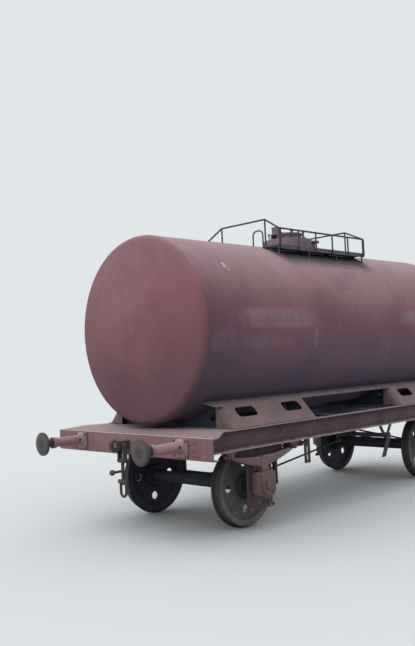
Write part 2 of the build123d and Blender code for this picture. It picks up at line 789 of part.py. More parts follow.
# Manhole: a broad drum on the crown with a narrower open neck and two ears for the lid's pin
ear_y = 60
with BuildPart() as manhole_drum:
    with BuildSketch(Plane.XY.offset(tank_z + tank_radius - 80)):
        Circle(drum_radius)
    extrude(amount=drum_top - tank_z - tank_radius + 80)
    fillet(manhole_drum.faces().sort_by(Axis.Z)[-1].edges(), 12)
    with BuildSketch(Plane.XY.offset(drum_top)):
        Circle(neck_radius)
    extrude(amount=neck_top - drum_top)
    with BuildSketch(Plane.XY.offset(neck_top)):
        Circle(neck_bore)
    extrude(amount=-200, mode=Mode.SUBTRACT)
    for y in (ear_y + 12, -ear_y):
        with BuildSketch(side_plane(y)):
            with BuildLine():
                Polyline((-200, drum_top), (lid_hinge_x - 34, drum_top), (lid_hinge_x - 20, neck_top + 28),
                         (lid_hinge_x + 16, neck_top + 28), (-210, neck_top - 20), close=True)
            make_face()
        extrude(amount=12)
    with BuildSketch(cross_plane(-500)):
        with Locations((0, tank_z)):
            Circle(tank_radius + seam_gap)
    extrude(amount=1000, mode=Mode.SUBTRACT)
export(manhole_drum, "manhole_drum")

# Lid, domed, hinged on the side towards end a by a broad lug
hinge_z = neck_top + 14
lug_top = neck_top + 122
lug_half_width = 50
lid_profile = ((0, neck_top + 4), (lid_radius, neck_top + 4), (lid_radius, neck_top + 28),
               (lid_radius - 14, neck_top + 34), (120, neck_top + 48), (0, neck_top + 53))
with BuildPart() as manhole_lid:
    with BuildSketch(side_plane(0)):
        with BuildLine():
            Polyline(*lid_profile, close=True)
        make_face()
    revolve(axis=Axis.Z)
    with BuildSketch(side_plane(lug_half_width)):
        with BuildLine():
            Polyline((lid_hinge_x - 16, hinge_z), (lid_hinge_x - 28, lug_top), (lid_hinge_x + 38, lug_top),
                     (lid_hinge_x + 58, neck_top + 56), (-120, neck_top + 44), (-200, neck_top + 10),
                     (lid_hinge_x, hinge_z - 8), close=True)
        make_face()
    extrude(amount=2 * lug_half_width)
    with BuildSketch(side_plane(ear_y - 5)):
        with Locations((lid_hinge_x, hinge_z)):
            Circle(16)
    extrude(amount=2 * (ear_y - 5))
export(manhole_lid, "manhole_lid")

# Swing bolts round the neck, clear of the lid
clamp_ring = 280
clamp_turns = (-125, -75, -25, 25, 75, 125)
with BuildPart() as lid_clamps:
    for turn in clamp_turns:
        clamp = Plane.XY.rotated((0, 0, turn))
        with BuildSketch(clamp.offset(drum_top + 12)):
            with Locations((clamp_ring - 14, 0)):
                Rectangle(80, 34)
            Circle(neck_radius, mode=Mode.SUBTRACT)
        extrude(amount=22)
        for radius, bottom, top in ((9, drum_top + 12, neck_top + 66), (20, neck_top + 26, neck_top + 44)):
            with BuildSketch(clamp.offset(bottom)):
                with Locations((clamp_ring, 0)):
                    Circle(radius)
            extrude(amount=top - bottom)
        with BuildSketch(clamp.offset(neck_top + 44)):
            with Locations((clamp_ring, 0)):
                Rectangle(14, 60)
        extrude(amount=14)
export(lid_clamps, "lid_clamps")

# Vent pipe beside the drum, with a broad blank flange
vent_at = (530, -50)
with BuildPart() as vent_valve:
    for radius, bottom, top in ((80, 3740, 3925), (100, 3925, 3944), (145, 3944, 3966), (34, 3966, 3984)):
        with BuildSketch(Plane.XY.offset(bottom)):
            with Locations(vent_at):
                Circle(radius)
        extrude(amount=top - bottom)
    with BuildSketch(cross_plane(vent_at[0] - 200)):
        with Locations((0, tank_z)):
            Circle(tank_radius + seam_gap)
    extrude(amount=400, mode=Mode.SUBTRACT)
export(vent_valve, "vent_valve")

# Walkways along both sides of the manhole, on gussets cut to the tank's curve
with BuildPart() as walkways:
    with BuildSketch(cross_plane(-walk_half)):
        with Locations(((walk_inner_y + walk_edge_y) / 2, walk_top - plank_thick / 2)):
            Rectangle(walk_edge_y - walk_inner_y, plank_thick)
        with Locations((walk_edge_y - 6, walk_top - 32)):
            Rectangle(12, 64)
    extrude(amount=2 * walk_half)
    mirror(about=Plane.XZ)
export(walkways, "walkways")

gusset_x = (340, 1040)
gusset_inner_y = 452
gusset_outer_y = walk_edge_y - 12
gusset_base_z = crown_z(walk_edge_y) - 16
gusset_cut = ((540, walk_top - plank_thick - 18), (gusset_outer_y - 22, walk_top - plank_thick - 18),
              (gusset_outer_y - 22, crown_z(gusset_outer_y - 22) + 18), (600, crown_z(600) + 18),
              (540, crown_z(540) + 18))
with BuildPart() as walkway_gussets:
    for x in gusset_x:
        with BuildSketch(cross_plane(x - 5)):
            with BuildLine():
                Polyline((gusset_inner_y, walk_top - plank_thick), (gusset_outer_y, walk_top - plank_thick),
                         (gusset_outer_y, gusset_base_z), (gusset_inner_y, gusset_base_z), close=True)
            make_face()
            with Locations((0, tank_z)):
                Circle(tank_radius + seam_gap, mode=Mode.SUBTRACT)
            with BuildLine():
                Polyline(*gusset_cut, close=True)
            make_face(mode=Mode.SUBTRACT)
        extrude(amount=10)
    mirror(about=Plane.YZ)
    mirror(about=Plane.XZ)
export(walkway_gussets, "walkway_gussets")

# Guard rails along the walkways
stanchion_x = (-1030, -618, -206, 206, 618, 1030)
for side, name in ((1, "left"), (-1, "right")):
    with BuildPart() as guard_rail:
        with BuildSketch(cross_plane(-rail_half - rail_radius)):
            with Locations((side * rail_y, rail_z)):
                Circle(rail_radius)
        extrude(amount=2 * (rail_half + rail_radius))
        with BuildSketch(Plane.XY.offset(walk_top - 64)):
            for x in stanchion_x:
                with Locations((x, side * rail_y)):
                    Circle(12)
        extrude(amount=rail_z - walk_top + 64)
        with BuildSketch(Plane.XY.offset(walk_top - 56)):
            for x in stanchion_x:
                with Locations((x, side * (walk_edge_y + rail_y) / 2)):
                    Rectangle(2 * rail_radius, rail_y - walk_edge_y)
        extrude(amount=48)
    export(guard_rail, f"guard_rail_{name}")

# Guard rails across the ends, with a raised middle on two posts
cross_rail_x = rail_half + 2 * rail_radius
for (end, name), hips in zip(ends, hip_y):
    with BuildPart() as cross_rail:
        with BuildLine() as rail_path:
            rail_line = FilletPolyline(
                (end * cross_rail_x, -rail_y, walk_top - 40), (end * cross_rail_x, -rail_y, rail_z),
                (end * cross_rail_x, hips[0], hip_z), (end * cross_rail_x, hips[1], hip_z),
                (end * cross_rail_x, rail_y, rail_z), (end * cross_rail_x, rail_y, walk_top - 40),
                radius=45,
            )
        with BuildSketch(Plane(origin=rail_line @ 0, z_dir=rail_line % 0)):
            Circle(rail_radius)
        sweep()
        for y in hips:
            foot_z = walk_top if abs(y) > walk_inner_y else crown_z(y) - 30
            with BuildSketch(Plane.XY.offset(foot_z)):
                with Locations((end * cross_rail_x, y)):
                    Circle(12)
            extrude(amount=hip_z - 4 - foot_z)
        with BuildSketch(Plane.XY.offset(walk_top - 56)):
            for side in sides:
                with Locations((end * cross_rail_x, side * (walk_edge_y + rail_y) / 2)):
                    Rectangle(2 * rail_radius, rail_y - walk_edge_y)
        extrude(amount=48)
        with BuildSketch(cross_plane(end * cross_rail_x - 50)):
            with Locations((0, tank_z)):
                Circle(tank_radius + seam_gap)
        extrude(amount=100, mode=Mode.SUBTRACT)
    export(cross_rail, f"cross_rail_{name}")

# Hoop handle outside the rail at end a
hoop_x = -cross_rail_x - 40
hoop_y = (-440, -255)
with BuildPart() as hoop_handle:
    with BuildLine() as hoop_path:
        hoop_line = FilletPolyline((hoop_x, hoop_y[0], 3640), (hoop_x, hoop_y[0], 3955),
                                   (hoop_x, hoop_y[1], 3955), (hoop_x, hoop_y[1], 3640), radius=70)
    with BuildSketch(Plane(origin=hoop_line @ 0, z_dir=hoop_line % 0)):
        Circle(11)
    sweep()
    with BuildSketch(cross_plane(hoop_x - 50)):
        with Locations((0, tank_z)):
            Circle(tank_radius + seam_gap)
    extrude(amount=100, mode=Mode.SUBTRACT)
export(hoop_handle, "hoop_handle")

# Ladder up the left side to the walkway
ladder_y = 1300
stile_x = 168
stile_radius = 15
ladder_bend = (ladder_y, 2900)
ladder_head = (738, 3716)
ladder_foot_z = 760
rung_spacing = 290
with BuildPart() as ladder:
    for x in (-stile_x, stile_x):
        with BuildLine() as stile_path:
            stile_line = FilletPolyline((x, ladder_y, ladder_foot_z), (x, *ladder_bend), (x, *ladder_head),
                                        radius=200)
        with BuildSketch(Plane(origin=stile_line @ 0, z_dir=stile_line % 0)):
            Circle(stile_radius)
        sweep()
    run_y, run_z = ladder_head[0] - ladder_y, ladder_head[1] - ladder_bend[1]
    rungs = [(ladder_y, ladder_foot_z + 60 + rung_spacing * i) for i in range(8)]
    rungs += [(ladder_y + run_y * t, ladder_bend[1] + run_z * t) for t in (0.24, 0.53, 0.82)]
    with BuildSketch(cross_plane(-stile_x)):
        with Locations(*rungs):
            Circle(10)
    extrude(amount=2 * stile_x)
    with BuildSketch(cross_plane(-stile_x - 20)):
        for y, z in ((sole_edge_y, 1276), (tank_radius + seam_gap + 2, tank_z)):
            with Locations(((y + ladder_y) / 2, z)):
                Rectangle(ladder_y - y, 12)
    extrude(amount=40)
    with BuildSketch(cross_plane(stile_x - 20)):
        for y, z in ((sole_edge_y, 1276), (tank_radius + seam_gap + 2, tank_z)):
            with Locations(((y + ladder_y) / 2, z)):
                Rectangle(ladder_y - y, 12)
    extrude(amount=40)
export(ladder, "ladder")
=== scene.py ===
import bmesh
import bpy
import json
from math import cos, pi, radians, sin, sqrt
from mathutils import Matrix, Vector

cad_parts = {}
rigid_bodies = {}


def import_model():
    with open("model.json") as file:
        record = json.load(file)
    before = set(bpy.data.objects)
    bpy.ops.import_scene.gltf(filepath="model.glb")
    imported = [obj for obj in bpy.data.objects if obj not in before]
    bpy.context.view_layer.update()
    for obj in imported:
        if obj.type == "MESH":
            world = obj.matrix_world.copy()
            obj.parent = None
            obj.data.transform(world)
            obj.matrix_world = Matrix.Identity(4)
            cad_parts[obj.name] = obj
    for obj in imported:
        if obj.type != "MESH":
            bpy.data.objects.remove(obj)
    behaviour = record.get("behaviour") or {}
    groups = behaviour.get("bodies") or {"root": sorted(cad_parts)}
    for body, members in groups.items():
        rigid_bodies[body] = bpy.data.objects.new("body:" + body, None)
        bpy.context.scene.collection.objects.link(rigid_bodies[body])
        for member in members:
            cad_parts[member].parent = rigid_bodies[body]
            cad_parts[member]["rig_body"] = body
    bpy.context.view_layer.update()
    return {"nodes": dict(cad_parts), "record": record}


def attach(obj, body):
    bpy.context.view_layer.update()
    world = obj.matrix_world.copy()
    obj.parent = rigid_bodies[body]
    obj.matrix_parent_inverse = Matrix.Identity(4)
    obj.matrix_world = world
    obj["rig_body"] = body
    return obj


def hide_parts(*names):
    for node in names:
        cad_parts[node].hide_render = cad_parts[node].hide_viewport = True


# Four-wheel railway tank wagon in red oxide paint, weathered outdoors for years.
# Metres, in the frame of the solids: +X along the wagon, +Y to the left, +Z up.

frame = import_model()
mm = 0.001

# Sizes that the finishes and the added pieces share with the solids, in millimetres
tank_radius = 1215
tank_z = 2558
barrel_half = 3030
shelf_half = 2800
axle_x = 2210
axle_z = 528
end_x = 3353
deck_front_z = 1264
deck_back_z = 1298
sole_web_face_y = 1160
sole_toe_y = 1250
spring_y = 1205
buffer_y = 978
buffer_z = 1153
buffer_foot_z = 1138
drum_radius = 375
drum_top = 3942
vent = (530, -50)
vent_radius = 80
walk_edge_y = 700
walk_top = 3728
sides = (1, -1)


def linear(code):
    """Linear colour with alpha from an sRGB hex code."""
    parts = [int(code[i:i + 2], 16) / 255 for i in (1, 3, 5)]
    return tuple(c / 12.92 if c <= 0.04045 else ((c + 0.055) / 1.055) ** 2.4 for c in parts) + (1.0,)


def add(tree, kind, inputs=None, **settings):
    """Add one node to a tree, with its settings and the values or links of its inputs, by name or number.
    A Mix node takes its share at 0, two numbers at 2 and 3, which give output 0, or two colours at 6 and 7,
    which give output 2."""
    item = tree.nodes.new(kind)
    for name, value in settings.items():
        setattr(item, name, value)
    for name, value in (inputs or {}).items():
        if isinstance(value, bpy.types.NodeSocket):
            tree.links.new(value, item.inputs[name])
        else:
            item.inputs[name].default_value = value
    return item


def new_material(name):
    """An empty material with its tree and its output."""
    material = bpy.data.materials.new(name)
    material.use_nodes = True
    tree = material.node_tree
    tree.nodes.clear()
    return material, tree, add(tree, "ShaderNodeOutputMaterial")


def age(tree, output, coat, look):
    """Lay over a coat what years outdoors add, and end the tree: rust that breaks through in small flakes,
    edges rubbed by hands and shackles, soot and painted shade in the corners, dust on what faces up."""
    place = add(tree, "ShaderNodeTexCoord").outputs["Object"]
    # rust flakes of 10 to 60 mm
    flakes = add(tree, "ShaderNodeTexNoise", {
        "Vector": place, "Scale": 15.0, "Detail": 8.0, "Roughness": 0.66}).outputs["Fac"]
    rusting = add(tree, "ShaderNodeMapRange", {
        "Value": flakes, "From Min": 0.60, "From Max": 0.69, "To Max": look["rust_share"]})
    rusted = add(tree, "ShaderNodeMix", {0: rusting.outputs[0], 6: coat, 7: linear(look["rust"])},
                 data_type="RGBA")
    # darker within 140 mm of another face: soot and oily dirt that stays in corners, and painted shade
    corner = add(tree, "ShaderNodeAmbientOcclusion", {"Distance": 140 * mm}, samples=8)
    shaded = add(tree, "ShaderNodeMapRange", {
        "Value": corner.outputs["AO"], "From Min": 0.85, "From Max": 0.35, "To Max": look["soot_share"]})
    sooty_and_shaded = add(tree, "ShaderNodeMix", {0: shaded.outputs[0], 6: rusted.outputs[2], 7: linear(look["soot"])},
                data_type="RGBA")
    # dust on what faces up, broken by 40 mm patches
    shape = add(tree, "ShaderNodeNewGeometry")
    facing = add(tree, "ShaderNodeSeparateXYZ", {0: shape.outputs["Normal"]})
    up = add(tree, "ShaderNodeMapRange", {
        "Value": facing.outputs["Z"], "From Min": 0.55, "From Max": 0.98, "To Max": look["dust_share"]})
    patches = add(tree, "ShaderNodeTexNoise", {
        "Vector": place, "Scale": 11.0, "Detail": 6.0, "Roughness": 0.6}).outputs["Fac"]
    thick = add(tree, "ShaderNodeMapRange", {"Value": patches, "From Min": 0.35, "From Max": 0.6})
    settled = add(tree, "ShaderNodeMath", {0: up.outputs[0], 1: thick.outputs[0]}, operation="MULTIPLY")
    dusty = add(tree, "ShaderNodeMix", {0: settled.outputs[0], 6: sooty_and_shaded.outputs[2], 7: linear(look["dust"])},
                data_type="RGBA")
    # edges worn over 7 mm, not everywhere
    round_edge = add(tree, "ShaderNodeBevel", {"Radius": 7 * mm}, samples=4)
    bend = add(tree, "ShaderNodeVectorMath", {0: round_edge.outputs[0], 1: shape.outputs["Normal"]},
               operation="DOT_PRODUCT")
    edge = add(tree, "ShaderNodeMapRange", {
        "Value": bend.outputs["Value"], "From Min": 0.992, "From Max": 0.90, "To Max": look["edge_share"]})
    rubbed = add(tree, "ShaderNodeMapRange", {"Value": flakes, "From Min": 0.38, "From Max": 0.52})
    worn = add(tree, "ShaderNodeMath", {0: edge.outputs[0], 1: rubbed.outputs[0]}, operation="MULTIPLY")
    finished = add(tree, "ShaderNodeMix", {0: worn.outputs[0], 6: dusty.outputs[2], 7: linear(look["edge"])},
                   data_type="RGBA")
    # brush marks, scale and grit of about 5 mm, and the rims of the rust flakes
    grain = add(tree, "ShaderNodeTexNoise", {"Vector": place, "Scale": look["grain"], "Detail": 4.0})
    height = add(tree, "ShaderNodeMath", {0: rusting.outputs[0], 1: grain.outputs["Fac"]}, operation="ADD")
    bump = add(tree, "ShaderNodeBump", {
        "Height": height.outputs[0], "Strength": look["relief"], "Distance": 0.8 * mm})
    rough = add(tree, "ShaderNodeMapRange", {
        "Value": patches, "From Min": 0.3, "From Max": 0.7,
        "To Min": look["rough"] - 0.07, "To Max": look["rough"] + 0.13})
    # the IOR stays at its default of 1.5, which is also that of dry oil paint and of a film of grease
    shader = add(tree, "ShaderNodeBsdfPrincipled", {
        "Base Color": finished.outputs[2], "Roughness": rough.outputs[0], "Normal": bump.outputs[0],
        "Specular IOR Level": look["shine"]})
    tree.links.new(shader.outputs[0], output.inputs[0])


painted = {"rust": "#5A3B38", "rust_share": 0.5, "soot": "#2A2529", "soot_share": 0.5, "dust": "#A89A98",
           "dust_share": 0.4, "edge": "#8C7674", "edge_share": 0.45, "grain": 190.0, "relief": 0.4,
           "rough": 0.66, "shine": 0.25}
bare = painted | {"rust": "#4A3029", "rust_share": 0.6, "edge": "#7A706C", "edge_share": 0.5, "grain": 150.0,
                  "relief": 0.6, "dust": "#7C716B", "dust_share": 0.3, "shine": 0.3}


def brushed_paint(name, fresh, faded, streak, bare_beyond=None, **changes):
    """Oil paint brushed on rolled or cast steel: it fades in clouds, and rain draws darker runs down it.
    Beyond a distance along the wagon, in millimetres, it can be trodden pale."""
    material, tree, output = new_material(name)
    place = add(tree, "ShaderNodeTexCoord").outputs["Object"]
    # clouds of fading, about 500 mm across
    clouds = add(tree, "ShaderNodeTexNoise", {
        "Vector": place, "Scale": 2.0, "Detail": 5.0, "Roughness": 0.6}).outputs["Fac"]
    fading = add(tree, "ShaderNodeMapRange", {"Value": clouds, "From Min": 0.38, "From Max": 0.62})
    colour = add(tree, "ShaderNodeMix", {0: fading.outputs[0], 6: linear(fresh), 7: linear(faded)},
                 data_type="RGBA")
    # runs 60 mm wide and 700 mm long
    drawn = add(tree, "ShaderNodeMapping", {"Vector": place, "Scale": (15, 15, 1.4)})
    rain = add(tree, "ShaderNodeTexNoise", {"Vector": drawn.outputs[0], "Scale": 1.0, "Detail": 3.0})
    runs = add(tree, "ShaderNodeMapRange", {
        "Value": rain.outputs["Fac"], "From Min": 0.46, "From Max": 0.74, "To Max": 0.26})
    coat = add(tree, "ShaderNodeMix", {0: runs.outputs[0], 6: colour.outputs[2], 7: linear(streak)},
               data_type="RGBA").outputs[2]
    if bare_beyond:
        axes = add(tree, "ShaderNodeSeparateXYZ", {0: place})
        along = add(tree, "ShaderNodeMath", {0: axes.outputs["X"]}, operation="ABSOLUTE")
        trodden = add(tree, "ShaderNodeMapRange", {
            "Value": along.outputs[0], "From Min": (bare_beyond - 10) * mm, "From Max": bare_beyond * mm,
            "To Max": 0.9})
        coat = add(tree, "ShaderNodeMix", {0: trodden.outputs[0], 6: coat, 7: linear("#DCC9C4")},
                   data_type="RGBA").outputs[2]
    age(tree, output, coat, painted | changes)
    return material


def forged_steel(name, skin, worn, **changes):
    """Bare forged or rolled steel with its black scale, browned by rust and greased with brake dust, so that
    no bright metal shows and it stays dull."""
    material, tree, output = new_material(name)
    place = add(tree, "ShaderNodeTexCoord").outputs["Object"]
    # patches of scale, about 120 mm across
    scale = add(tree, "ShaderNodeTexNoise", {
        "Vector": place, "Scale": 8.0, "Detail": 7.0, "Roughness": 0.62}).outputs["Fac"]
    patchy = add(tree, "ShaderNodeMapRange", {"Value": scale, "From Min": 0.4, "From Max": 0.62})
    colour = add(tree, "ShaderNodeMix", {0: patchy.outputs[0], 6: linear(skin), 7: linear(worn)},
                 data_type="RGBA")
    age(tree, output, colour.outputs[2], bare | changes)
    return material


def tank_positions(tree):
    """What the tank's finish goes by, as sockets: a point's place, how far it is along the tank and round it
    from the crown, its level, and whether it is on an end plate or on the shell."""
    place = add(tree, "ShaderNodeTexCoord").outputs["Object"]
    axes = add(tree, "ShaderNodeSeparateXYZ", {0: place})
    x, y, z = axes.outputs["X"], axes.outputs["Y"], axes.outputs["Z"]
    along = add(tree, "ShaderNodeMath", {0: x}, operation="ABSOLUTE").outputs[0]
    rise = add(tree, "ShaderNodeMath", {0: z, 1: tank_z * mm}, operation="SUBTRACT")
    turn = add(tree, "ShaderNodeMath", {0: y, 1: rise.outputs[0]}, operation="ARCTAN2").outputs[0]
    from_crown = add(tree, "ShaderNodeMath", {0: turn}, operation="ABSOLUTE").outputs[0]
    end = add(tree, "ShaderNodeMapRange", {
        "Value": along, "From Min": (barrel_half + 4) * mm, "From Max": (barrel_half + 28) * mm}).outputs[0]
    shell = add(tree, "ShaderNodeMath", {0: 1.0, 1: end}, operation="SUBTRACT").outputs[0]
    # clouds of fading, about 900 mm across, with which the level of every change of colour wanders
    clouds = add(tree, "ShaderNodeTexNoise", {
        "Vector": place, "Scale": 1.1, "Detail": 5.0, "Roughness": 0.58}).outputs["Fac"]
    wander = add(tree, "ShaderNodeMapRange", {"Value": clouds, "To Min": -0.4, "To Max": 0.4})
    level = add(tree, "ShaderNodeMath", {0: z, 1: wander.outputs[0]}, operation="ADD").outputs[0]
    return {"place": place, "x": x, "y": y, "z": z, "along": along, "turn": turn, "from_crown": from_crown,
            "end": end, "shell": shell, "clouds": clouds, "level": level}


def chalk_soot_and_shade(tree, at):
    """Red paint that the sun chalks pink along the top, darkened towards the underside by soot and painted
    shade.
    The end plates keep more of their red."""
    fading = add(tree, "ShaderNodeMapRange", {"Value": at["clouds"], "From Min": 0.36, "From Max": 0.64})
    red = add(tree, "ShaderNodeMix", {0: fading.outputs[0], 6: linear("#8B5B62"), 7: linear("#97686E")},
              data_type="RGBA")
    bleached = add(tree, "ShaderNodeMapRange", {
        "Value": at["level"], "From Min": 2.62, "From Max": 3.62, "To Max": 0.75})
    exposed = add(tree, "ShaderNodeMix", {0: at["end"], 2: 1.0, 3: 0.3})
    chalking = add(tree, "ShaderNodeMath", {0: bleached.outputs[0], 1: exposed.outputs[0]},
                   operation="MULTIPLY")
    chalky = add(tree, "ShaderNodeMix", {0: chalking.outputs[0], 6: red.outputs[2], 7: linear("#B0969B")},
                 data_type="RGBA")
    # soot and painted shade, bluish on the shell, thin and browner on the ends
    low = add(tree, "ShaderNodeMapRange", {"Value": at["level"], "From Min": 3.02, "From Max": 1.72})
    share = add(tree, "ShaderNodeMix", {0: at["end"], 2: 0.86, 3: 0.56})
    soot = add(tree, "ShaderNodeMath", {0: low.outputs[0], 1: share.outputs[0]}, operation="MULTIPLY")
    grime_and_shade = add(tree, "ShaderNodeMix", {0: at["end"], 6: linear("#625D74"), 7: linear("#50454F")},
                data_type="RGBA")
    return add(tree, "ShaderNodeMix", {0: soot.outputs[0], 6: chalky.outputs[2], 7: grime_and_shade.outputs[2]},
               data_type="RGBA").outputs[2]


def painted_shade_near_ends(tree, at, coat):
    """Painted shade on the shell towards each end plate, darker lower down."""
    near_end = add(tree, "ShaderNodeMapRange", {
        "Value": at["along"], "From Min": 2.2, "From Max": 2.95, "To Max": 0.42})
    low = add(tree, "ShaderNodeMapRange", {"Value": at["level"], "From Min": 3.5, "From Max": 2.85})
    shade_low_near_end = add(tree, "ShaderNodeMath", {0: near_end.outputs[0], 1: low.outputs[0]}, operation="MULTIPLY")
    # dirt here is painted shade, on the shell only
    dirt = add(tree, "ShaderNodeMath", {0: shade_low_near_end.outputs[0], 1: at["shell"]}, operation="MULTIPLY")
    return add(tree, "ShaderNodeMix", {0: dirt.outputs[0], 6: coat, 7: linear("#54454F")},
               data_type="RGBA").outputs[2]


def rain_runs(tree, at, coat):
    """Darker runs of rain, 140 mm wide: down the girth on the shell, straight down on the ends."""
    girth = add(tree, "ShaderNodeMath", {0: at["turn"], 1: tank_radius * mm}, operation="MULTIPLY")
    across = add(tree, "ShaderNodeMix", {0: at["end"], 2: at["x"], 3: at["y"]})
    down = add(tree, "ShaderNodeMix", {0: at["end"], 2: girth.outputs[0], 3: at["z"]})
    unrolled = add(tree, "ShaderNodeCombineXYZ", {"X": across.outputs[0], "Y": down.outputs[0]})
    drawn = add(tree, "ShaderNodeMapping", {"Vector": unrolled.outputs[0], "Scale": (7, 0.8, 1)})
    rain = add(tree, "ShaderNodeTexNoise", {"Vector": drawn.outputs[0], "Scale": 1.0, "Detail": 3.0})
    runs = add(tree, "ShaderNodeMapRange", {
        "Value": rain.outputs["Fac"], "From Min": 0.42, "From Max": 0.76, "To Max": 0.12})
    return add(tree, "ShaderNodeMix", {0: runs.outputs[0], 6: coat, 7: linear("#54414A")},
               data_type="RGBA").outputs[2]


def walkway_stain_and_shadow(tree, at, coat):
    """Ragged stain of what washes off the walkways, with their painted shadow, thinner on the crown between
    them.
    """
    ragged = add(tree, "ShaderNodeMapRange", {"Value": at["clouds"], "To Min": -0.2, "To Max": 0.2})
    beside = add(tree, "ShaderNodeMath", {0: at["along"], 1: ragged.outputs[0]}, operation="ADD")
    in_reach = add(tree, "ShaderNodeMapRange", {
        "Value": beside.outputs[0], "From Min": 1.2, "From Max": 0.92})
    below = add(tree, "ShaderNodeMath", {0: at["from_crown"], 1: ragged.outputs[0]}, operation="ADD")
    washed = add(tree, "ShaderNodeMapRange", {
        "Value": below.outputs[0], "From Min": 0.83, "From Max": 0.64})
    off_crown = add(tree, "ShaderNodeMapRange", {
        "Value": at["from_crown"], "From Min": 0.26, "From Max": 0.46, "To Min": 0.42, "To Max": 1.0})
    thick = add(tree, "ShaderNodeMath", {0: washed.outputs[0], 1: off_crown.outputs[0]},
                operation="MULTIPLY")
    stain_and_shadow = add(tree, "ShaderNodeMath", {0: in_reach.outputs[0], 1: thick.outputs[0]}, operation="MULTIPLY")
    return add(tree, "ShaderNodeMix", {0: stain_and_shadow.outputs[0], 6: coat, 7: linear("#49474F")},
               data_type="RGBA").outputs[2]


def pale_rubs(tree, at, coat):
    """Paint rubbed thin and pale on the shell's sides, in marks about 500 mm long and 190 mm high."""
    drawn = add(tree, "ShaderNodeMapping", {"Vector": at["place"], "Scale": (1.6, 0.2, 4.5)})
    rubs = add(tree, "ShaderNodeTexNoise", {
        "Vector": drawn.outputs[0], "Scale": 1.2, "Detail": 9.0, "Roughness": 0.75})
    rubbed = add(tree, "ShaderNodeMapRange", {
        "Value": rubs.outputs["Fac"], "From Min": 0.62, "From Max": 0.74, "To Max": 0.3})
    pale = add(tree, "ShaderNodeMath", {0: rubbed.outputs[0], 1: at["shell"]}, operation="MULTIPLY")
    return add(tree, "ShaderNodeMix", {0: pale.outputs[0], 6: coat, 7: linear("#A5979C")},
               data_type="RGBA").outputs[2]


def old_patches(tree, at, coat):
    """Patches of an older pale coat, nearly weathered away, then single scuffs and smudges."""
    # what weather has left of a patch, in flecks 220 mm wide and 310 mm high
    brushed = add(tree, "ShaderNodeMapping", {"Vector": at["place"], "Scale": (4.5, 4.5, 3.2)})
    flecks = add(tree, "ShaderNodeTexNoise", {
        "Vector": brushed.outputs[0], "Scale": 1.0, "Detail": 7.0, "Roughness": 0.72})
    left_over = add(tree, "ShaderNodeMapRange", {
        "Value": flecks.outputs["Fac"], "From Min": 0.3, "From Max": 0.68})
    patches = (
        # centre, half size, colour, share, and whether weather has broken it up
        ((-1.72, -1.2, 2.64), (0.74, 0.3, 0.13), "#A79CA4", 0.55, True),
        ((2.02, -1.2, 2.64), (0.74, 0.3, 0.13), "#A79CA4", 0.5, True),
        ((1.6, 1.2, 2.66), (0.8, 0.3, 0.13), "#A79CA4", 0.45, True),
        ((-1.95, -1.2, 2.33), (0.52, 0.3, 0.07), "#8F848E", 0.45, True),
        ((-1.9, 1.2, 2.3), (0.3, 0.3, 0.1), "#8F848E", 0.35, True),
        ((-2.78, -1.2, 2.36), (0.2, 0.3, 0.12), "#8C8090", 0.35, True),
        ((-0.97, -1.2, 2.38), (0.05, 0.3, 0.14), "#9C9099", 0.5, True),
        ((-2.47, -0.95, 3.32), (0.028, 0.12, 0.035), "#D8C8CA", 0.75, False),
        ((-2.43, -0.99, 3.26), (0.018, 0.12, 0.03), "#C4B4B6", 0.6, False),
        ((-0.1, -1.04, 3.17), (0.24, 0.3, 0.12), "#6A4F5A", 0.5, True),
        ((0.25, -0.95, 3.3), (0.2, 0.3, 0.08), "#6E5560", 0.45, True),
    )
    for centre, half, code, most, broken in patches:
        aside = add(tree, "ShaderNodeVectorMath", {0: at["place"], 1: centre}, operation="SUBTRACT")
        scaled = add(tree, "ShaderNodeVectorMath", {0: aside.outputs[0], 1: half}, operation="DIVIDE")
        squared = add(tree, "ShaderNodeVectorMath", {0: scaled.outputs[0], 1: scaled.outputs[0]},
                      operation="MULTIPLY")
        fourth = add(tree, "ShaderNodeVectorMath", {0: squared.outputs[0], 1: squared.outputs[0]},
                     operation="DOT_PRODUCT")
        inside = add(tree, "ShaderNodeMapRange", {
            "Value": fourth.outputs["Value"], "From Min": 1.7, "From Max": 0.3, "To Max": most})
        torn = left_over.outputs[0] if broken else 1.0
        spot = add(tree, "ShaderNodeMath", {0: inside.outputs[0], 1: torn}, operation="MULTIPLY")
        coat = add(tree, "ShaderNodeMix", {0: spot.outputs[0], 6: coat, 7: linear(code)},
                   data_type="RGBA").outputs[2]
    return coat


def tank_paint(name, corner_soot_and_shade):
    """Red oxide oil paint on the tank's rolled plates, nearly matt: red on the end plates, chalked pink along
    the shell's top, bluish black low down with soot and painted shade, stain and painted shadow below the
    walkways."""
    material, tree, output = new_material(name)
    at = tank_positions(tree)
    coat = chalk_soot_and_shade(tree, at)
    for layer in (painted_shade_near_ends, rain_runs, walkway_stain_and_shadow, pale_rubs, old_patches):
        coat = layer(tree, at, coat)
    age(tree, output, coat, painted | {"rust_share": 0.16, "soot_share": corner_soot_and_shade, "dust_share": 0.25,
                                       "edge_share": 0.0, "relief": 0.25})
    return material


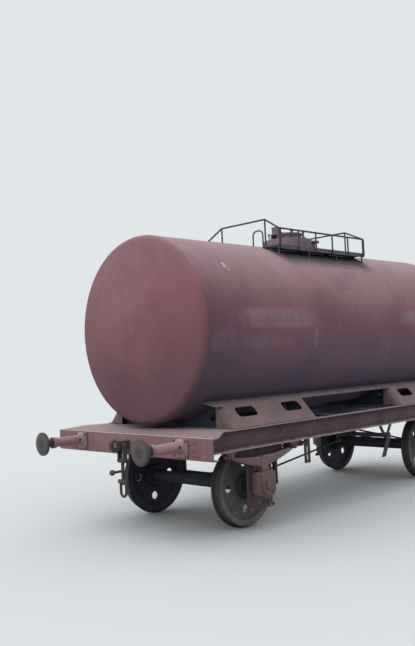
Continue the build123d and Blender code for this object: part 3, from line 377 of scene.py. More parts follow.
def sole_bar_paint():
    """Red oxide paint on the sole bars' rolled channels: soot and painted shade, and a painted highlight on
    the flanges' toes.
    """
    material, tree, output = new_material("sole_bar_painted_light_paint")
    place = add(tree, "ShaderNodeTexCoord").outputs["Object"]
    axes = add(tree, "ShaderNodeSeparateXYZ", {0: place})
    # clouds of fading, about 400 mm across
    clouds = add(tree, "ShaderNodeTexNoise", {
        "Vector": place, "Scale": 2.4, "Detail": 5.0, "Roughness": 0.6}).outputs["Fac"]
    fading = add(tree, "ShaderNodeMapRange", {"Value": clouds, "From Min": 0.38, "From Max": 0.62})
    web = add(tree, "ShaderNodeMix", {0: fading.outputs[0], 6: linear("#62505A"), 7: linear("#6E5C64")},
              data_type="RGBA")
    side = add(tree, "ShaderNodeMath", {0: axes.outputs["Y"]}, operation="ABSOLUTE")
    # the toes of the flanges pale: a painted highlight
    toe_highlight = add(tree, "ShaderNodeMapRange", {
        "Value": side.outputs[0], "From Min": (sole_toe_y - 18) * mm, "From Max": (sole_toe_y - 4) * mm,
        "To Max": 0.9})
    coat = add(tree, "ShaderNodeMix", {0: toe_highlight.outputs[0], 6: web.outputs[2], 7: linear("#C8B1B3")},
               data_type="RGBA")
    # edges and upward faces pale with wear, dust and painted highlight; corners dark with soot and painted
    # shade
    age(tree, output, coat.outputs[2], painted | {"edge": "#A28C90", "edge_share": 0.8, "soot_share": 0.7,
                                                  "rust_share": 0.3, "dust": "#B0A1A2", "dust_share": 0.8})
    return material


def ringed(tree, first, second, steps):
    """A colour by the distance from an axis, from two sockets across it and steps of (metres, colour)."""
    flat = add(tree, "ShaderNodeCombineXYZ", {"X": first, "Y": second})
    out = add(tree, "ShaderNodeVectorMath", {0: flat.outputs[0]}, operation="LENGTH").outputs["Value"]
    rings = add(tree, "ShaderNodeValToRGB", {0: out})
    ramp = rings.color_ramp
    while len(ramp.elements) < len(steps):
        ramp.elements.new(0.5)
    for stop, (radius, code) in zip(ramp.elements, steps):
        stop.position = radius
        stop.color = linear(code)
    return rings.outputs[0]


def buffer_head_steel():
    """Forged buffer heads: grease caked dark in the middle, a ring round it rubbed paler, a rusty rim."""
    material, tree, output = new_material("buffer_head_greased_steel")
    place = add(tree, "ShaderNodeTexCoord").outputs["Object"]
    axes = add(tree, "ShaderNodeSeparateXYZ", {0: place})
    side = add(tree, "ShaderNodeMath", {0: axes.outputs["Y"]}, operation="ABSOLUTE")
    aside = add(tree, "ShaderNodeMath", {0: side.outputs[0], 1: buffer_y * mm}, operation="SUBTRACT")
    rise = add(tree, "ShaderNodeMath", {0: axes.outputs["Z"], 1: buffer_z * mm}, operation="SUBTRACT")
    rings = ringed(tree, aside.outputs[0], rise.outputs[0],
                   ((0.0, "#454143"), (0.05, "#4A4647"), (0.08, "#615C5D"), (0.115, "#686263"),
                    (0.135, "#564E4D"), (0.152, "#4F4644")))
    # caked dirt in patches of about 70 mm
    dirt = add(tree, "ShaderNodeTexNoise", {
        "Vector": place, "Scale": 14.0, "Detail": 7.0, "Roughness": 0.65}).outputs["Fac"]
    caked = add(tree, "ShaderNodeMapRange", {
        "Value": dirt, "From Min": 0.42, "From Max": 0.64, "To Max": 0.7})
    coat = add(tree, "ShaderNodeMix", {0: caked.outputs[0], 6: rings, 7: linear("#504B4C")},
               data_type="RGBA")
    age(tree, output, coat.outputs[2], bare | {"rust_share": 0.4, "rough": 0.55})
    return material


def rolled_wheel():
    """Rolled steel wheels: brown-grey web with brake dust, oily hub, rim rubbed grey, tread dark with painted
    shade.
    """
    material, tree, output = new_material("wheel_rolled_steel")
    place = add(tree, "ShaderNodeTexCoord").outputs["Object"]
    axes = add(tree, "ShaderNodeSeparateXYZ", {0: place})
    along = add(tree, "ShaderNodeMath", {0: axes.outputs["X"]}, operation="ABSOLUTE")
    off = add(tree, "ShaderNodeMath", {0: along.outputs[0], 1: axle_x * mm}, operation="SUBTRACT")
    rise = add(tree, "ShaderNodeMath", {0: axes.outputs["Z"], 1: axle_z * mm}, operation="SUBTRACT")
    # beyond 497 mm the tread and flange are dark: painted shade
    rings = ringed(tree, off.outputs[0], rise.outputs[0],
                   ((0.09, "#343133"), (0.16, "#3A3738"), (0.20, "#6E6B6B"), (0.40, "#787474"),
                    (0.43, "#827F7F"), (0.492, "#767272"), (0.497, "#474444"), (0.53, "#3E3B3C")))
    # caked brake dust in patches of about 110 mm
    dirt = add(tree, "ShaderNodeTexNoise", {
        "Vector": place, "Scale": 9.0, "Detail": 7.0, "Roughness": 0.65}).outputs["Fac"]
    caked = add(tree, "ShaderNodeMapRange", {
        "Value": dirt, "From Min": 0.42, "From Max": 0.66, "To Max": 0.6})
    dusty = add(tree, "ShaderNodeMix", {0: caked.outputs[0], 6: rings, 7: linear("#524A4B")},
                data_type="RGBA")
    # the inner side, out of the rain, bluish under a film of oil and painted shade
    shape = add(tree, "ShaderNodeNewGeometry")
    facing = add(tree, "ShaderNodeSeparateXYZ", {0: shape.outputs["Normal"]})
    side = add(tree, "ShaderNodeMath", {0: axes.outputs["Y"]}, operation="SIGN")
    outward = add(tree, "ShaderNodeMath", {0: facing.outputs["Y"], 1: side.outputs[0]}, operation="MULTIPLY")
    inner_oil_and_shade = add(tree, "ShaderNodeMapRange", {
        "Value": outward.outputs[0], "From Min": 0.0, "From Max": -0.4, "To Max": 0.85})
    coat = add(tree, "ShaderNodeMix", {0: inner_oil_and_shade.outputs[0], 6: dusty.outputs[2], 7: linear("#2B3240")},
               data_type="RGBA")
    age(tree, output, coat.outputs[2], bare | {"rust_share": 0.35, "dust_share": 0.2, "rough": 0.6})
    return material


# Finishes by material slot, each with what it gives the eye
finishes = {
    # rolled plate in oil paint, chalky and nearly matt, red at the ends, dark below with soot and painted
    # shade
    "tank_paint": tank_paint("tank_red_oxide_paint", 0.16),
    # the drum's plate in the same paint, greyed purple by soot and by painted shade
    "dome_paint": brushed_paint("drum_red_oxide_paint", "#847180", "#907D8B", "#5F4E58"),
    # pressed and rolled plate of the headstocks, brushed red oxide gone dull pink, with rust at the rivets
    "frame_paint": brushed_paint("underframe_red_oxide_paint", "#906C6E", "#9A7678", "#6A5052",
                                 rust_share=0.3),
    # the pans' folded plate, browner and more chalked than the frame, because rain stands on it
    "saddle_paint": brushed_paint("saddle_chalked_paint", "#7C6668", "#8B7576", "#665252", rust_share=0.25),
    # trodden deck plate, paler than what stands upright, bare along its outer edge
    "deck_paint": brushed_paint("deck_chalked_paint", "#9A8688", "#A69192", "#7C6668",
                                bare_beyond=end_x - 11, rust_share=0.3),
    # cast casings, the palest pink on the wagon, dull as chalk
    "buffer_steel": brushed_paint("buffer_paint", "#A88A8E", "#B29698", "#7C6264", rust_share=0.3),
    # forged hook and links, black scale under old grease, with browner flanks
    "drawgear_steel": forged_steel("drawgear_forged_steel", "#4A4546", "#5A5354"),
    "wheel_steel": rolled_wheel(),
    # turned axle under a bluish film of oil and brake dust, almost black
    "axle_steel": forged_steel("axle_turned_steel", "#343844", "#3F424B"),
    # cast iron with a coarse skin under thick paint, darkened by oil
    "box_iron": brushed_paint("axle_box_cast_iron_paint", "#745E60", "#806A6B", "#4E4042", relief=0.8,
                              grain=110.0),
    # rolled leaves, rust pink, with pale dust on each step
    "spring_steel": forged_steel("spring_rolled_steel", "#866569", "#947478", dust="#C0AEAC",
                                 dust_share=0.95, soot_share=0.2),
    # cast blocks and forged rods, near black with iron dust
    "brake_iron": forged_steel("brake_cast_iron", "#3B383E", "#4A464B"),
    # folded walkway plate, sooty, with edges that boots and hands have rubbed grey
    "walkway_paint": brushed_paint("walkway_red_oxide_paint", "#5E5A64", "#68646E", "#48434C",
                                   edge="#96949B", edge_share=0.8, dust="#8C8488", dust_share=0.3),
    # bent round bar of the rails, sooty grey, thin dark lines
    "rail_paint": brushed_paint("rail_red_oxide_paint", "#4C4B50", "#57565A", "#38363A"),
}
# rolled sections between the sole bars, out of the sun, bluish grey: painted shade, with soot
inner_frame_painted_shade = brushed_paint("inner_frame_painted_shade", "#5C6478", "#656C80", "#4A5062", soot="#353A48",
                                 edge_share=0.2)
# Nodes whose finish differs from the rest of their slot, by age or by painted shade and highlight
own_finish = {
    "sole_bars": sole_bar_paint(),
    # rolled shelf plates, grey with chalk and dust
    "tank_shelves": brushed_paint("shelf_chalked_paint", "#80747C", "#8B7F86", "#665C64"),
    # cut plate guards, dark all over as painted shade under the sole bars, darker where boxes and wheels are
    # near
    "axle_guards": brushed_paint("axle_guard_painted_shade", "#5C484E", "#685257", "#3C3034", soot="#3A353C",
                                 soot_share=0.9),
    # cradle plates, bluish black: painted shade of the tank above them
    "cradles": brushed_paint("cradle_painted_shade", "#404553", "#484C59", "#343845", soot="#232732",
                             edge_share=0.2),
    # forged hangers, brown under soot and grease, darker in their corners with painted shade
    "spring_hangers": brushed_paint("spring_hanger_sooty_paint", "#66504F", "#745C5C", "#463838",
                                    soot_share=0.7),
    # cut plate guides, grey-brown and dull
    "brake_guides": brushed_paint("brake_guide_sooty_paint", "#4A4247", "#564C50", "#332E33"),
    "buffer_heads": buffer_head_steel(),
    "centre_sills": inner_frame_painted_shade,
    "cross_bearers": inner_frame_painted_shade,
    "buffer_struts": inner_frame_painted_shade,
}
# the tank's own paint on its weld beads, without the soot and painted shade in the corners
tank_weld_paint = tank_paint("tank_weld_red_oxide_paint", 0.0)
slot_of = {part["node"]: part["material_slot"] for part in frame["record"]["subparts"]}


def show(name, mesh):
    """A new object with that mesh, in the scene, at the origin."""
    piece = bpy.data.objects.new(name, mesh)
    bpy.context.scene.collection.objects.link(piece)
    return piece


def settle(piece):
    """Turn a piece with its modifiers into a plain mesh."""
    shape = piece.evaluated_get(bpy.context.evaluated_depsgraph_get())
    mesh = bpy.data.meshes.new_from_object(shape)
    piece.modifiers.clear()
    piece.data = mesh


def belong(piece, body, slot, *nodes):
    """Make a finished piece ride on a body, in place of the nodes named. The slot is not used."""
    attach(piece, body)
    if nodes:
        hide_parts(*nodes)


def smoothed(mesh, angle=32):
    """Shade a mesh smooth, but sharp at edges that bend by more than the angle."""
    mesh.polygons.foreach_set("use_smooth", [True] * len(mesh.polygons))
    mesh.set_sharp_from_angle(angle=radians(angle))


def round_edges(piece, width, angle=32):
    """Round a piece's sharp edges to a width in millimetres."""
    bevel = piece.modifiers.new("rounding", "BEVEL")
    bevel.width = width * mm
    bevel.segments = 2
    bevel.limit_method = "ANGLE"
    bevel.angle_limit = radians(angle)
    bevel.harden_normals = True
    settle(piece)


def rounded(node, edge):
    """A copy of a node with its loose triangles merged, curves smoothed and edges rounded by edge mm."""
    source = frame["nodes"][node]
    work = bmesh.new()
    work.from_mesh(source.data)
    bmesh.ops.remove_doubles(work, verts=work.verts, dist=0.02 * mm)
    bmesh.ops.dissolve_limit(work, angle_limit=radians(0.5), verts=work.verts, edges=work.edges)
    mesh = bpy.data.meshes.new(node + "_finished")
    work.to_mesh(mesh)
    work.free()
    mesh.materials.append(own_finish.get(node, finishes[slot_of[node]]))
    smoothed(mesh)
    piece = show(node + "_finished", mesh)
    round_edges(piece, edge)
    belong(piece, source["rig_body"], slot_of[node], node)
    return piece


# Edge rounding by node, in millimetres, where it isn't 1.5
edge_of = {"sole_bars": 4, "headstocks": 4, "end_decks": 2.5, "axle_boxes": 6, "saddle_pans": 3,
           "draw_hooks": 9, "screw_couplings": 5, "buffer_heads": 3, "buffer_casings": 3, "axle_guards": 2.5,
           "spring_hangers": 3, "brake_blocks": 4, "brake_cylinder": 5, "outlet_valve": 3, "walkways": 2.5}
for node in slot_of:
    if node != "leaf_springs":
        rounded(node, edge_of.get(node, 1.5))


def bent_bar(work, line, outline):
    """Sweep an outline of (sideways, up) points along a line of (point, up direction, scale), ends closed."""
    rings = []
    for point, upward, scale in line:
        rings.append([work.verts.new(Vector(point) + Vector((0, s * scale, 0)) + Vector(upward) * u)
                      for s, u in outline])
    count = len(outline)
    for first, second in zip(rings, rings[1:]):
        for i in range(count):
            work.faces.new((first[i], first[(i + 1) % count], second[(i + 1) % count], second[i]))
    work.faces.new(rings[0][::-1])
    work.faces.new(rings[-1])


def plain_block(work, low, high):
    """A block between two corners, in millimetres."""
    corners = [(x, y, z) for x in (low[0], high[0]) for y in (low[1], high[1]) for z in (low[2], high[2])]
    points = [work.verts.new(Vector(c) * mm) for c in corners]
    for quad in ((0, 1, 3, 2), (4, 6, 7, 5), (0, 4, 5, 1), (2, 3, 7, 6), (0, 2, 6, 4), (1, 5, 7, 3)):
        work.faces.new([points[i] for i in quad])


def round_bar(work, start, finish, radius, count=16):
    """A round bar between two points, in millimetres, with closed ends."""
    start, finish = Vector(start) * mm, Vector(finish) * mm
    turn = (finish - start).to_track_quat("Z", "Y").to_matrix()
    rings = []
    for point in (start, finish):
        rings.append([work.verts.new(point + turn @ Vector((radius * mm * cos(2 * pi * i / count),
                                                            radius * mm * sin(2 * pi * i / count), 0)))
                      for i in range(count)])
    for i in range(count):
        work.faces.new((rings[0][i], rings[0][(i + 1) % count], rings[1][(i + 1) % count], rings[1][i]))
    work.faces.new(rings[0][::-1])
    work.faces.new(rings[1])


def from_work(name, work, slot, body="wagon", edge=1.5, nodes=()):
    """Finish a piece from a bmesh: normals outwards, edges rounded, riding on its body."""
    bmesh.ops.recalc_face_normals(work, faces=work.faces)
    mesh = bpy.data.meshes.new(name)
    work.to_mesh(mesh)
    work.free()
    mesh.materials.append(finishes[slot])
    smoothed(mesh)
    piece = show(name, mesh)
    if edge:
        round_edges(piece, edge)
    belong(piece, body, slot, *nodes)
    return piece


# Springs, in millimetres: the leaves' half lengths from the top down, their section, the top leaf's bend,
# its eyes and the buckle round them all
leaf_halves = (585, 560, 500, 440, 380, 320, 260, 200, 140)
leaf_thick = 12
leaf_half_width = 43
leaf_gap = 1.2
leaf_corner = 3
spring_top = 915
spring_camber = 48
bend_radius = (leaf_halves[0] ** 2 + spring_camber**2) / (2 * spring_camber)
eye_radius = 27
eye_bore = 15.5
eye_x = leaf_halves[0] + 8
eye_z = spring_top + spring_camber + eye_radius - 14
buckle_low = 768
buckle_high = 922


def leaf(work, x, y, i, reach):
    """One leaf of a spring, bent round the spring's centre; all but the top one end in a spear point."""
    side, half = leaf_half_width, (leaf_thick - leaf_gap) / 2
    inset, under = side - leaf_corner, half - leaf_corner
    outline = [(s * mm, u * mm) for s, u in ((-inset, -half), (inset, -half), (side, -under), (side, under),
                                             (inset, half), (-inset, half), (-side, under), (-side, -under))]
    radius = bend_radius + (i + 0.5) * leaf_thick
    steps = 12
    line = []
    for step in range(-steps, steps + 1):
        t = reach / bend_radius * step / steps
        point = (x + radius * sin(t), y, spring_top + bend_radius - radius * cos(t))
        spear = 1 - 0.16 * max(0, abs(step) - steps + 1) if i else 1
        line.append((Vector(point) * mm, (-sin(t), 0, cos(t)), spear))
    bent_bar(work, line, outline)


def spring_eye(work, x, y, count=20):
    """The rolled eye at one end of a spring's top leaf, as a ring with its bore."""
    ring = []
    for i in range(count):
        a = 2 * pi * i / count
        for radius in (eye_radius, eye_bore):
            for across in (-leaf_half_width, leaf_half_width):
                ring.append(work.verts.new(Vector((x + radius * cos(a), y + across,
                                                   eye_z + radius * sin(a))) * mm))
    for i in range(count):
        a, b = 4 * i, 4 * ((i + 1) % count)
        for p, q in ((0, 1), (1, 3), (3, 2), (2, 0)):
            work.faces.new((ring[a + p], ring[a + q], ring[b + q], ring[b + p]))


def buckle(work, x, y):
    """A forged band round the leaves, with a flat seat under it, a wedge driven in on top and a cross pin."""
    middle = (buckle_low + buckle_high) / 2 + 5
    plain_block(work, (x - 56, y - 50, buckle_low), (x + 56, y + 50, buckle_high))
    plain_block(work, (x - 60, y - 49, buckle_low - 11.5), (x + 60, y + 49, buckle_low + 1))
    plain_block(work, (x - 30, y - 38, buckle_high - 1), (x + 30, y + 38, buckle_high + 8))
    round_bar(work, (x, y - 58, middle), (x, y + 58, middle), 17)


def springs():
    """Laminated springs of nine separate leaves, the longest with rolled eyes, held in a forged buckle."""
    leaves, eyes, buckles = bmesh.new(), bmesh.new(), bmesh.new()
    for x in (-axle_x, axle_x):
        for y in (-spring_y, spring_y):
            for i, reach in enumerate(leaf_halves):
                leaf(leaves, x, y, i, reach)
            for side in sides:
                spring_eye(eyes, x + side * eye_x, y)
            buckle(buckles, x, y)
    from_work("spring_leaves", leaves, "spring_steel", edge=0, nodes=("leaf_springs",))
    from_work("spring_eyes", eyes, "spring_steel", edge=1.5)
    from_work("spring_buckles", buckles, "spring_steel", edge=4)


def start_tree(name, inputs):
    """A Geometry Nodes tree with its named inputs, given as (name, socket kind, value)."""
    tree = bpy.data.node_groups.new(name, "GeometryNodeTree")
    tree.interface.new_socket("Geometry", in_out="INPUT", socket_type="NodeSocketGeometry")
    for label, kind, value in inputs:
        socket = tree.interface.new_socket(label, in_out="INPUT", socket_type="NodeSocket" + kind)
        if value is not None:
            socket.default_value = value
    tree.interface.new_socket("Geometry", in_out="OUTPUT", socket_type="NodeSocketGeometry")
    return tree, add(tree, "NodeGroupInput"), add(tree, "NodeGroupOutput")


def stand_on_points(tree, given, shape):
    """Stand a shape on each point of the mesh given, along the point's own facing."""
    facing = add(tree, "GeometryNodeInputNamedAttribute", {"Name": "facing"}, data_type="FLOAT_VECTOR")
    turned = add(tree, "FunctionNodeAlignRotationToVector", {"Vector": facing.outputs["Attribute"]}, axis="Z")
    placed = add(tree, "GeometryNodeInstanceOnPoints", {
        "Points": given.outputs["Geometry"], "Instance": shape, "Rotation": turned.outputs[0]})
    return placed.outputs["Instances"]


def end_tree(tree, given, made, shape):
    """End a tree with real faces in place of instances, in the finish given."""
    real = add(tree, "GeometryNodeRealizeInstances", {"Geometry": shape})
    coated = add(tree, "GeometryNodeSetMaterial", {
        "Geometry": real.outputs["Geometry"], "Material": given.outputs["Finish"]})
    tree.links.new(coated.outputs["Geometry"], made.inputs["Geometry"])
    return tree


def rivet_tree():
    """Snap-head rivets on points, each along the point's own facing."""
    tree, given, made = start_tree("rivets", (("Radius", "Float", 12 * mm), ("Height", "Float", 8 * mm),
                                              ("Finish", "Material", None)))
    ball = add(tree, "GeometryNodeMeshUVSphere", {
        "Segments": 10, "Rings": 6, "Radius": given.outputs["Radius"]})
    flat = add(tree, "ShaderNodeMath", {0: given.outputs["Height"], 1: given.outputs["Radius"]},
               operation="DIVIDE")
    size = add(tree, "ShaderNodeCombineXYZ", {"X": 1.0, "Y": 1.0, "Z": flat.outputs[0]})
    head = add(tree, "GeometryNodeTransform", {"Geometry": ball.outputs["Mesh"], "Scale": size.outputs[0]})
    smooth = add(tree, "GeometryNodeSetShadeSmooth", {"Geometry": head.outputs["Geometry"]})
    return end_tree(tree, given, made, stand_on_points(tree, given, smooth.outputs["Geometry"]))


def bolt_tree():
    """Hexagon bolts on points: washer, head or nut, and the end of the thread, each turned at random."""
    tree, given, made = start_tree("bolts", (("Radius", "Float", 14 * mm), ("Height", "Float", 12 * mm),
                                             ("Seed", "Int", 7), ("Finish", "Material", None)))
    join = add(tree, "GeometryNodeJoinGeometry")
    shapes = (
        # corners, radius and length as shares of the bolt's radius and height
        (12, 1.45, 0.5),
        (6, 1.0, 2.0),
        (8, 0.55, 2.9),
    )
    for corners, wide, tall in shapes:
        radius = add(tree, "ShaderNodeMath", {0: given.outputs["Radius"], 1: wide}, operation="MULTIPLY")
        depth = add(tree, "ShaderNodeMath", {0: given.outputs["Height"], 1: tall}, operation="MULTIPLY")
        shape = add(tree, "GeometryNodeMeshCylinder", {
            "Vertices": corners, "Radius": radius.outputs[0], "Depth": depth.outputs[0]})
        tree.links.new(shape.outputs["Mesh"], join.inputs["Geometry"])
    spin = add(tree, "FunctionNodeRandomValue", {
        0: (0, 0, 0), 1: (0, 0, pi / 3), "Seed": given.outputs["Seed"]}, data_type="FLOAT_VECTOR")
    spun = add(tree, "GeometryNodeRotateInstances", {
        "Instances": stand_on_points(tree, given, join.outputs["Geometry"]), "Rotation": spin.outputs[0],
        "Local Space": True})
    return end_tree(tree, given, made, spun.outputs["Instances"])


def bead_tree():
    """A bead along lines, such as a weld or a thread, with the ripple of its run."""
    tree, given, made = start_tree("beads", (("Width", "Float", 12 * mm), ("Pitch", "Float", 14 * mm),
                                             ("Ripple", "Float", 2 * mm), ("Finish", "Material", None)))
    curve = add(tree, "GeometryNodeMeshToCurve", {"Mesh": given.outputs["Geometry"]})
    even = add(tree, "GeometryNodeResampleCurve", {
        "Curve": curve.outputs["Curve"], "Length": given.outputs["Pitch"]}, mode="LENGTH")
    radius = add(tree, "ShaderNodeMath", {0: given.outputs["Width"], 1: 0.5}, operation="MULTIPLY")
    ring = add(tree, "GeometryNodeCurvePrimitiveCircle", {"Resolution": 7, "Radius": radius.outputs[0]})
    tube = add(tree, "GeometryNodeCurveToMesh", {
        "Curve": even.outputs["Curve"], "Profile Curve": ring.outputs["Curve"], "Fill Caps": True})
    # ripples of about 11 mm
    rough = add(tree, "ShaderNodeTexNoise", {"Scale": 90.0, "Detail": 1.0})
    signed = add(tree, "ShaderNodeMath", {0: rough.outputs["Fac"], 1: 0.5}, operation="SUBTRACT")
    push = add(tree, "ShaderNodeMath", {0: signed.outputs[0], 1: given.outputs["Ripple"]},
               operation="MULTIPLY")
    normal = add(tree, "GeometryNodeInputNormal")
    offset = add(tree, "ShaderNodeVectorMath", {0: normal.outputs[0], "Scale": push.outputs[0]},
                 operation="SCALE")
    rippled = add(tree, "GeometryNodeSetPosition", {
        "Geometry": tube.outputs["Mesh"], "Offset": offset.outputs[0]})
    smooth = add(tree, "GeometryNodeSetShadeSmooth", {"Geometry": rippled.outputs["Geometry"]})
    return end_tree(tree, given, made, smooth.outputs["Geometry"])


rivets, bolts, beads = rivet_tree(), bolt_tree(), bead_tree()


def grow(name, mesh, tree, slot, finish=None, **sizes):
    """Run a tree on a mesh of points or lines, and keep what it makes as a plain piece of the wagon."""
    piece = show(name, mesh)
    modifier = piece.modifiers.new("made", "NODES")
    modifier.node_group = tree
    sockets = tree.interface.items_tree
    for label, value in sizes.items():
        modifier[sockets[label].identifier] = value
    modifier[sockets["Finish"].identifier] = finish or finishes[slot]
    settle(piece)
    belong(piece, "wagon", slot)
    return piece


def points_mesh(name, spots):
    """A mesh of single points, each given as (x, y, z) in millimetres and the way it faces."""
    mesh = bpy.data.meshes.new(name)
    mesh.from_pydata([Vector(p) * mm for p, way in spots], [], [])
    facing = mesh.attributes.new("facing", "FLOAT_VECTOR", "POINT")
    for item, (p, way) in zip(facing.data, spots):
        item.vector = way
    return mesh


def lines_mesh(name, lines):
    """A mesh of lines, each given as (points in millimetres, closed)."""
    points, edges = [], []
    for line, closed in lines:
        first = len(points)
        points += [Vector(p) * mm for p in line]
        edges += [(first + i, first + i + 1) for i in range(len(line) - 1)]
        if closed:
            edges.append((len(points) - 1, first))
    mesh = bpy.data.meshes.new(name)
    mesh.from_pydata(points, edges, [])
    return mesh


def mirrored(spots):
    """The spots and their mirror images across the wagon and along it."""
    return [((sx * x, sy * y, z), (sx * i, sy * j, k)) for (x, y, z), (i, j, k) in spots
            for sx in sides for sy in sides]


def ring_spots(centre, radius, count, z, way):
    """Spots evenly round a circle, level, in millimetres."""
    turns = [2 * pi * i / count for i in range(count)]
    return [((centre[0] + radius * cos(t), centre[1] + radius * sin(t), z), way) for t in turns]


# The ways that rivets and bolts face
out_x, out_y, up, down = (1, 0, 0), (0, 1, 0), (0, 0, 1), (0, 0, -1)


def frame_rivets():
    """Rivets through the sole bars into the axle guards, on the headstocks and along the end decks."""
    web_columns, web_rows = range(-560, 561, 160), (1088, 1226)
    webs = [((axle_x + x, sole_web_face_y, z), out_y) for x in web_columns for z in web_rows]
    grow("sole_bar_rivets", points_mesh("sole_bar_rivets", mirrored(webs)), rivets, "frame_paint",
         own_finish["sole_bars"], Radius=11 * mm, Height=7 * mm)
    # by the centre sills, by the sole bars and near the headstocks' ends
    head_columns, head_rows = (176, 216, 1172, 1212, 1400), (1050, 1120, 1200)
    heads = [((end_x, y, z), out_x) for y in head_columns for z in head_rows]
    deck_start, deck_pitch = 150, 300
    heads += [((end_x - 46, y, deck_front_z), up) for y in range(deck_start, 1351, deck_pitch)]
    heads += [((end_x - 570, y, deck_back_z), up) for y in range(deck_start, 1051, deck_pitch)]
    grow("frame_rivets", points_mesh("frame_rivets", mirrored(heads)), rivets, "frame_paint",
         Radius=12 * mm, Height=8 * mm)


def frame_bolts():
    """Bolts through the buffers' feet, the keeps under the axle boxes, the hangers and the boxes' covers."""
    foot_face_x = end_x + 20
    nuts = [((foot_face_x, buffer_y + y, buffer_foot_z + z), out_x) for y in (-100, 100) for z in (-84, 84)]
    keep_y, keep_z = 1150, 286
    nuts += [((axle_x + x, keep_y, keep_z), out_y) for x in (-178, 178)]
    hanger_foot_z = 1024
    nuts += [((axle_x + side * eye_x + x, spring_y + y, hanger_foot_z), down) for side in sides
             for x in (-58, 58) for y in (-36, 36)]
    grow("frame_bolts", points_mesh("frame_bolts", mirrored(nuts)), bolts, "frame_paint", Radius=15 * mm,
         Height=11 * mm)
    cover_face_y, cover_z = 1305, axle_z + 20
    covers = [((axle_x + x, cover_face_y, cover_z + z), out_y) for x in (-63, 63) for z in (-63, 63)]
    grow("axle_box_bolts", points_mesh("axle_box_bolts", mirrored(covers)), bolts, "box_iron",
         Radius=11 * mm, Height=9 * mm)


def crown_fasteners():
    """Rivets round the drum and along the walkways, bolts through the vent's flange and at the outlet."""
    drum = ring_spots((0, 0), drum_radius - 30, 28, drum_top, up)
    grow("drum_rivets", points_mesh("drum_rivets", drum), rivets, "dome_paint", Radius=11 * mm,
         Height=8 * mm)
    vent_ring, flange_top, flange_foot = 122, 3966, 3944
    flange = ring_spots(vent, vent_ring, 8, flange_top, up)
    flange += ring_spots(vent, vent_ring, 8, flange_foot, down)
    grow("vent_bolts", points_mesh("vent_bolts", flange), bolts, "dome_paint", Radius=10 * mm,
         Height=8 * mm)
    outlet_ring, outlet_top = 93, 795
    outlet = ring_spots((0, 0), outlet_ring, 6, outlet_top, up)
    grow("outlet_bolts", points_mesh("outlet_bolts", outlet), bolts, "box_iron", Radius=9 * mm,
         Height=8 * mm)
    # on the walkways' lips and along both edges of their tops
    walk_rivets = [((x, walk_edge_y, walk_top - 32), out_y) for x in (340, 1040)]
    walk_rivets += [((x, y, walk_top), up) for x in (60, 340, 700, 1040) for y in (450, 672)]
    grow("walkway_rivets", points_mesh("walkway_rivets", mirrored(walk_rivets)), rivets, "walkway_paint",
         Radius=9 * mm, Height=5 * mm)


def tank_welds():
    """Weld beads between the tank's plates, round its girth and along it, and round the drum and the vent."""
    sunk = tank_radius - 2
    girth_x = 1010
    last_x = barrel_half - 10
    lines = []
    for x in (-barrel_half, -girth_x, girth_x, barrel_half):
        turns = [2 * pi * i / 160 for i in range(160)]
        lines.append(([(x, sunk * sin(t), tank_z + sunk * cos(t)) for t in turns], True))
    # lengthwise seams, each as its two ends and its turn from the crown in radians
    for start, finish, turn in ((-last_x, -girth_x, 2.1), (-girth_x, girth_x, -2.3), (girth_x, last_x, 2.3)):
        y, z = sunk * sin(turn), tank_z + sunk * cos(turn)
        lines.append(([(start, y, z), (finish, y, z)], False))
    for radius, centre in ((drum_radius, (0, 0)), (vent_radius, vent)):
        loop = []
        for i in range(64):
            x = centre[0] + (radius + 2) * cos(2 * pi * i / 64)
            y = centre[1] + (radius + 2) * sin(2 * pi * i / 64)
            loop.append((x, y, tank_z + sqrt(tank_radius**2 - y**2) + 1))
        lines.append((loop, True))
    grow("tank_welds", lines_mesh("tank_welds", lines), beads, "tank_paint", tank_weld_paint,
         Width=10 * mm)


def frame_welds():
    """Weld beads along the pans' feet and tops and the shelves' roots, and across the sole bars' splices."""
    foot_y, foot_z = 1247, 1302
    top_y, top_z = 1008, 1557
    root_y, root_z = 768, 1620
    last_x = shelf_half - 2
    lines = []
    for sx in sides:
        for sy in sides:
            lines.append(([(sx * 1110, sy * foot_y, foot_z), (sx * 2650, sy * foot_y, foot_z)], False))
            lines.append(([(sx * 1150, sy * top_y, top_z), (sx * 2610, sy * top_y, top_z)], False))
    for sy in sides:
        lines.append(([(-last_x, sy * root_y, root_z), (last_x, sy * root_y, root_z)], False))
    grow("frame_welds", lines_mesh("frame_welds", lines), beads, "saddle_paint", Width=10 * mm)
    splice_x, face_y, web_low, web_high = 1775, sole_web_face_y + 1, 1054, 1272
    splices = [([(sx * splice_x, sy * face_y, web_low), (sx * splice_x, sy * face_y, web_high)], False)
               for sx in sides for sy in sides]
    grow("splice_welds", lines_mesh("splice_welds", splices), beads, "frame_paint", own_finish["sole_bars"],
         Width=9 * mm)


def coupling_threads():
    """Threads of both couplings' screws, right-handed above the weighted lever and left-handed below it."""
    pitch, radius, steps = 8.5, 20.5, 14
    screw_x = end_x + 95
    lines = []
    for side in sides:
        for low, high, hand in ((712, 786, -1), (840, 914, 1)):
            turns = [2 * pi * i / steps for i in range(round((high - low) / pitch * steps))]
            lines.append(([(side * screw_x + radius * cos(hand * t), radius * sin(hand * t),
                            low + pitch * t / (2 * pi)) for t in turns], False))
    grow("coupling_threads", lines_mesh("coupling_threads", lines), beads, "drawgear_steel", Width=5 * mm,
         Pitch=9 * mm, Ripple=0.0)


springs()
frame_rivets()
frame_bolts()
crown_fasteners()
tank_welds()
frame_welds()
coupling_threads()


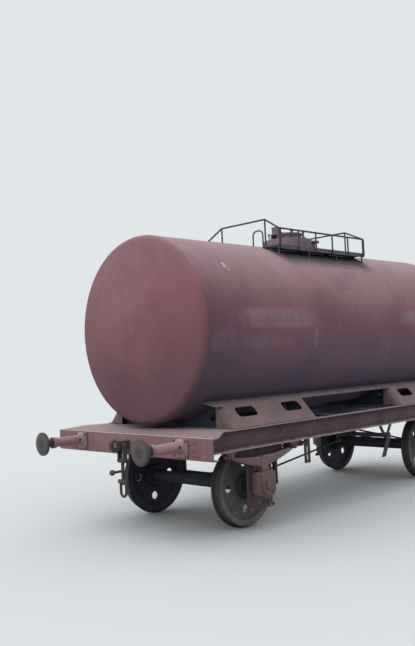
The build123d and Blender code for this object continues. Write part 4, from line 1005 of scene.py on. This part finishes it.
def straight_view(tree):
    """1 for what the camera sees, also in gloss or through glass, and 0 for light that falls on things."""
    ray = add(tree, "ShaderNodeLightPath")
    gloss = add(tree, "ShaderNodeMath", {
        0: ray.outputs["Is Glossy Ray"], 1: ray.outputs["Is Transmission Ray"]}, operation="MAXIMUM")
    return add(tree, "ShaderNodeMath", {0: ray.outputs["Is Camera Ray"], 1: gloss.outputs[0]},
               operation="MAXIMUM").outputs[0]


def pale_floor(reach=120):
    """A plain pale floor that keeps shadows and throws less light up than it shows."""
    mesh = bpy.data.meshes.new("floor")
    mesh.from_pydata([(-reach, -reach, 0), (reach, -reach, 0), (reach, reach, 0), (-reach, reach, 0)], [],
                     [(0, 1, 2, 3)])
    floor = show("floor", mesh)
    material, tree, output = new_material("pale_floor")
    lit = add(tree, "ShaderNodeBsdfDiffuse", {"Color": linear("#8A8784")})
    pale = add(tree, "ShaderNodeBsdfDiffuse", {"Color": linear("#D4D7D7")})
    mixed = add(tree, "ShaderNodeMixShader", {0: straight_view(tree), 1: lit.outputs[0], 2: pale.outputs[0]})
    tree.links.new(mixed.outputs[0], output.inputs[0])
    mesh.materials.append(material)


def overcast_light():
    """Soft light from all round, as on an overcast day, brighter from above, from end a and from the left."""
    world = bpy.data.worlds.new("overcast")
    bpy.context.scene.world = world
    world.use_nodes = True
    tree = world.node_tree
    tree.nodes.clear()
    way = add(tree, "ShaderNodeTexCoord").outputs["Generated"]
    parts = add(tree, "ShaderNodeSeparateXYZ", {0: way})
    height = add(tree, "ShaderNodeMapRange", {
        "Value": parts.outputs["Z"], "From Min": 0.0, "From Max": 1.0, "To Min": 0.62, "To Max": 1.5})
    aside = add(tree, "ShaderNodeVectorMath", {0: way, 1: (-0.62, 0.78, 0)}, operation="DOT_PRODUCT")
    share = add(tree, "ShaderNodeMapRange", {
        "Value": aside.outputs["Value"], "From Min": -1.0, "From Max": 1.0, "To Min": 0.6, "To Max": 1.45})
    strength = add(tree, "ShaderNodeMath", {0: height.outputs[0], 1: share.outputs[0]},
                   operation="MULTIPLY")
    soft = add(tree, "ShaderNodeBackground", {"Color": linear("#F6F8FB"), "Strength": strength.outputs[0]})
    plain = add(tree, "ShaderNodeBackground", {"Color": linear("#E1E6E8"), "Strength": 1.0})
    mixed = add(tree, "ShaderNodeMixShader", {
        0: straight_view(tree), 1: soft.outputs[0], 2: plain.outputs[0]})
    output = add(tree, "ShaderNodeOutputWorld")
    tree.links.new(mixed.outputs[0], output.inputs[0])


def camera():
    """Camera at the photograph's viewing angle, from a fit to the photograph's 415 x 646 pixels."""
    photo_height = 646
    focal_pixels = 748.4
    stand = (-9.227, -7.403, 2.159)
    yaw, pitch, roll = 0.7876, 0.0467, 0.0459
    ahead = Vector((cos(yaw), sin(yaw), 0))
    right = Vector((sin(yaw), -cos(yaw), 0))
    forward = ahead * cos(pitch) + Vector((0, 0, sin(pitch)))
    upward = Vector((0, 0, cos(pitch))) - ahead * sin(pitch)
    image_right = right * cos(roll) - upward * sin(roll)
    image_up = right * sin(roll) + upward * cos(roll)
    data = bpy.data.cameras.new("camera")
    data.sensor_fit = "AUTO"
    data.lens = data.sensor_width * focal_pixels / photo_height
    data.clip_end = 400
    eye = bpy.data.objects.new("camera", data)
    bpy.context.scene.collection.objects.link(eye)
    turn = Matrix((image_right, image_up, -forward)).transposed().to_4x4()
    eye.matrix_world = Matrix.Translation(stand) @ turn
    bpy.context.scene.camera = eye


pale_floor()
overcast_light()
camera()
bpy.context.scene.view_settings.view_transform = "Standard"
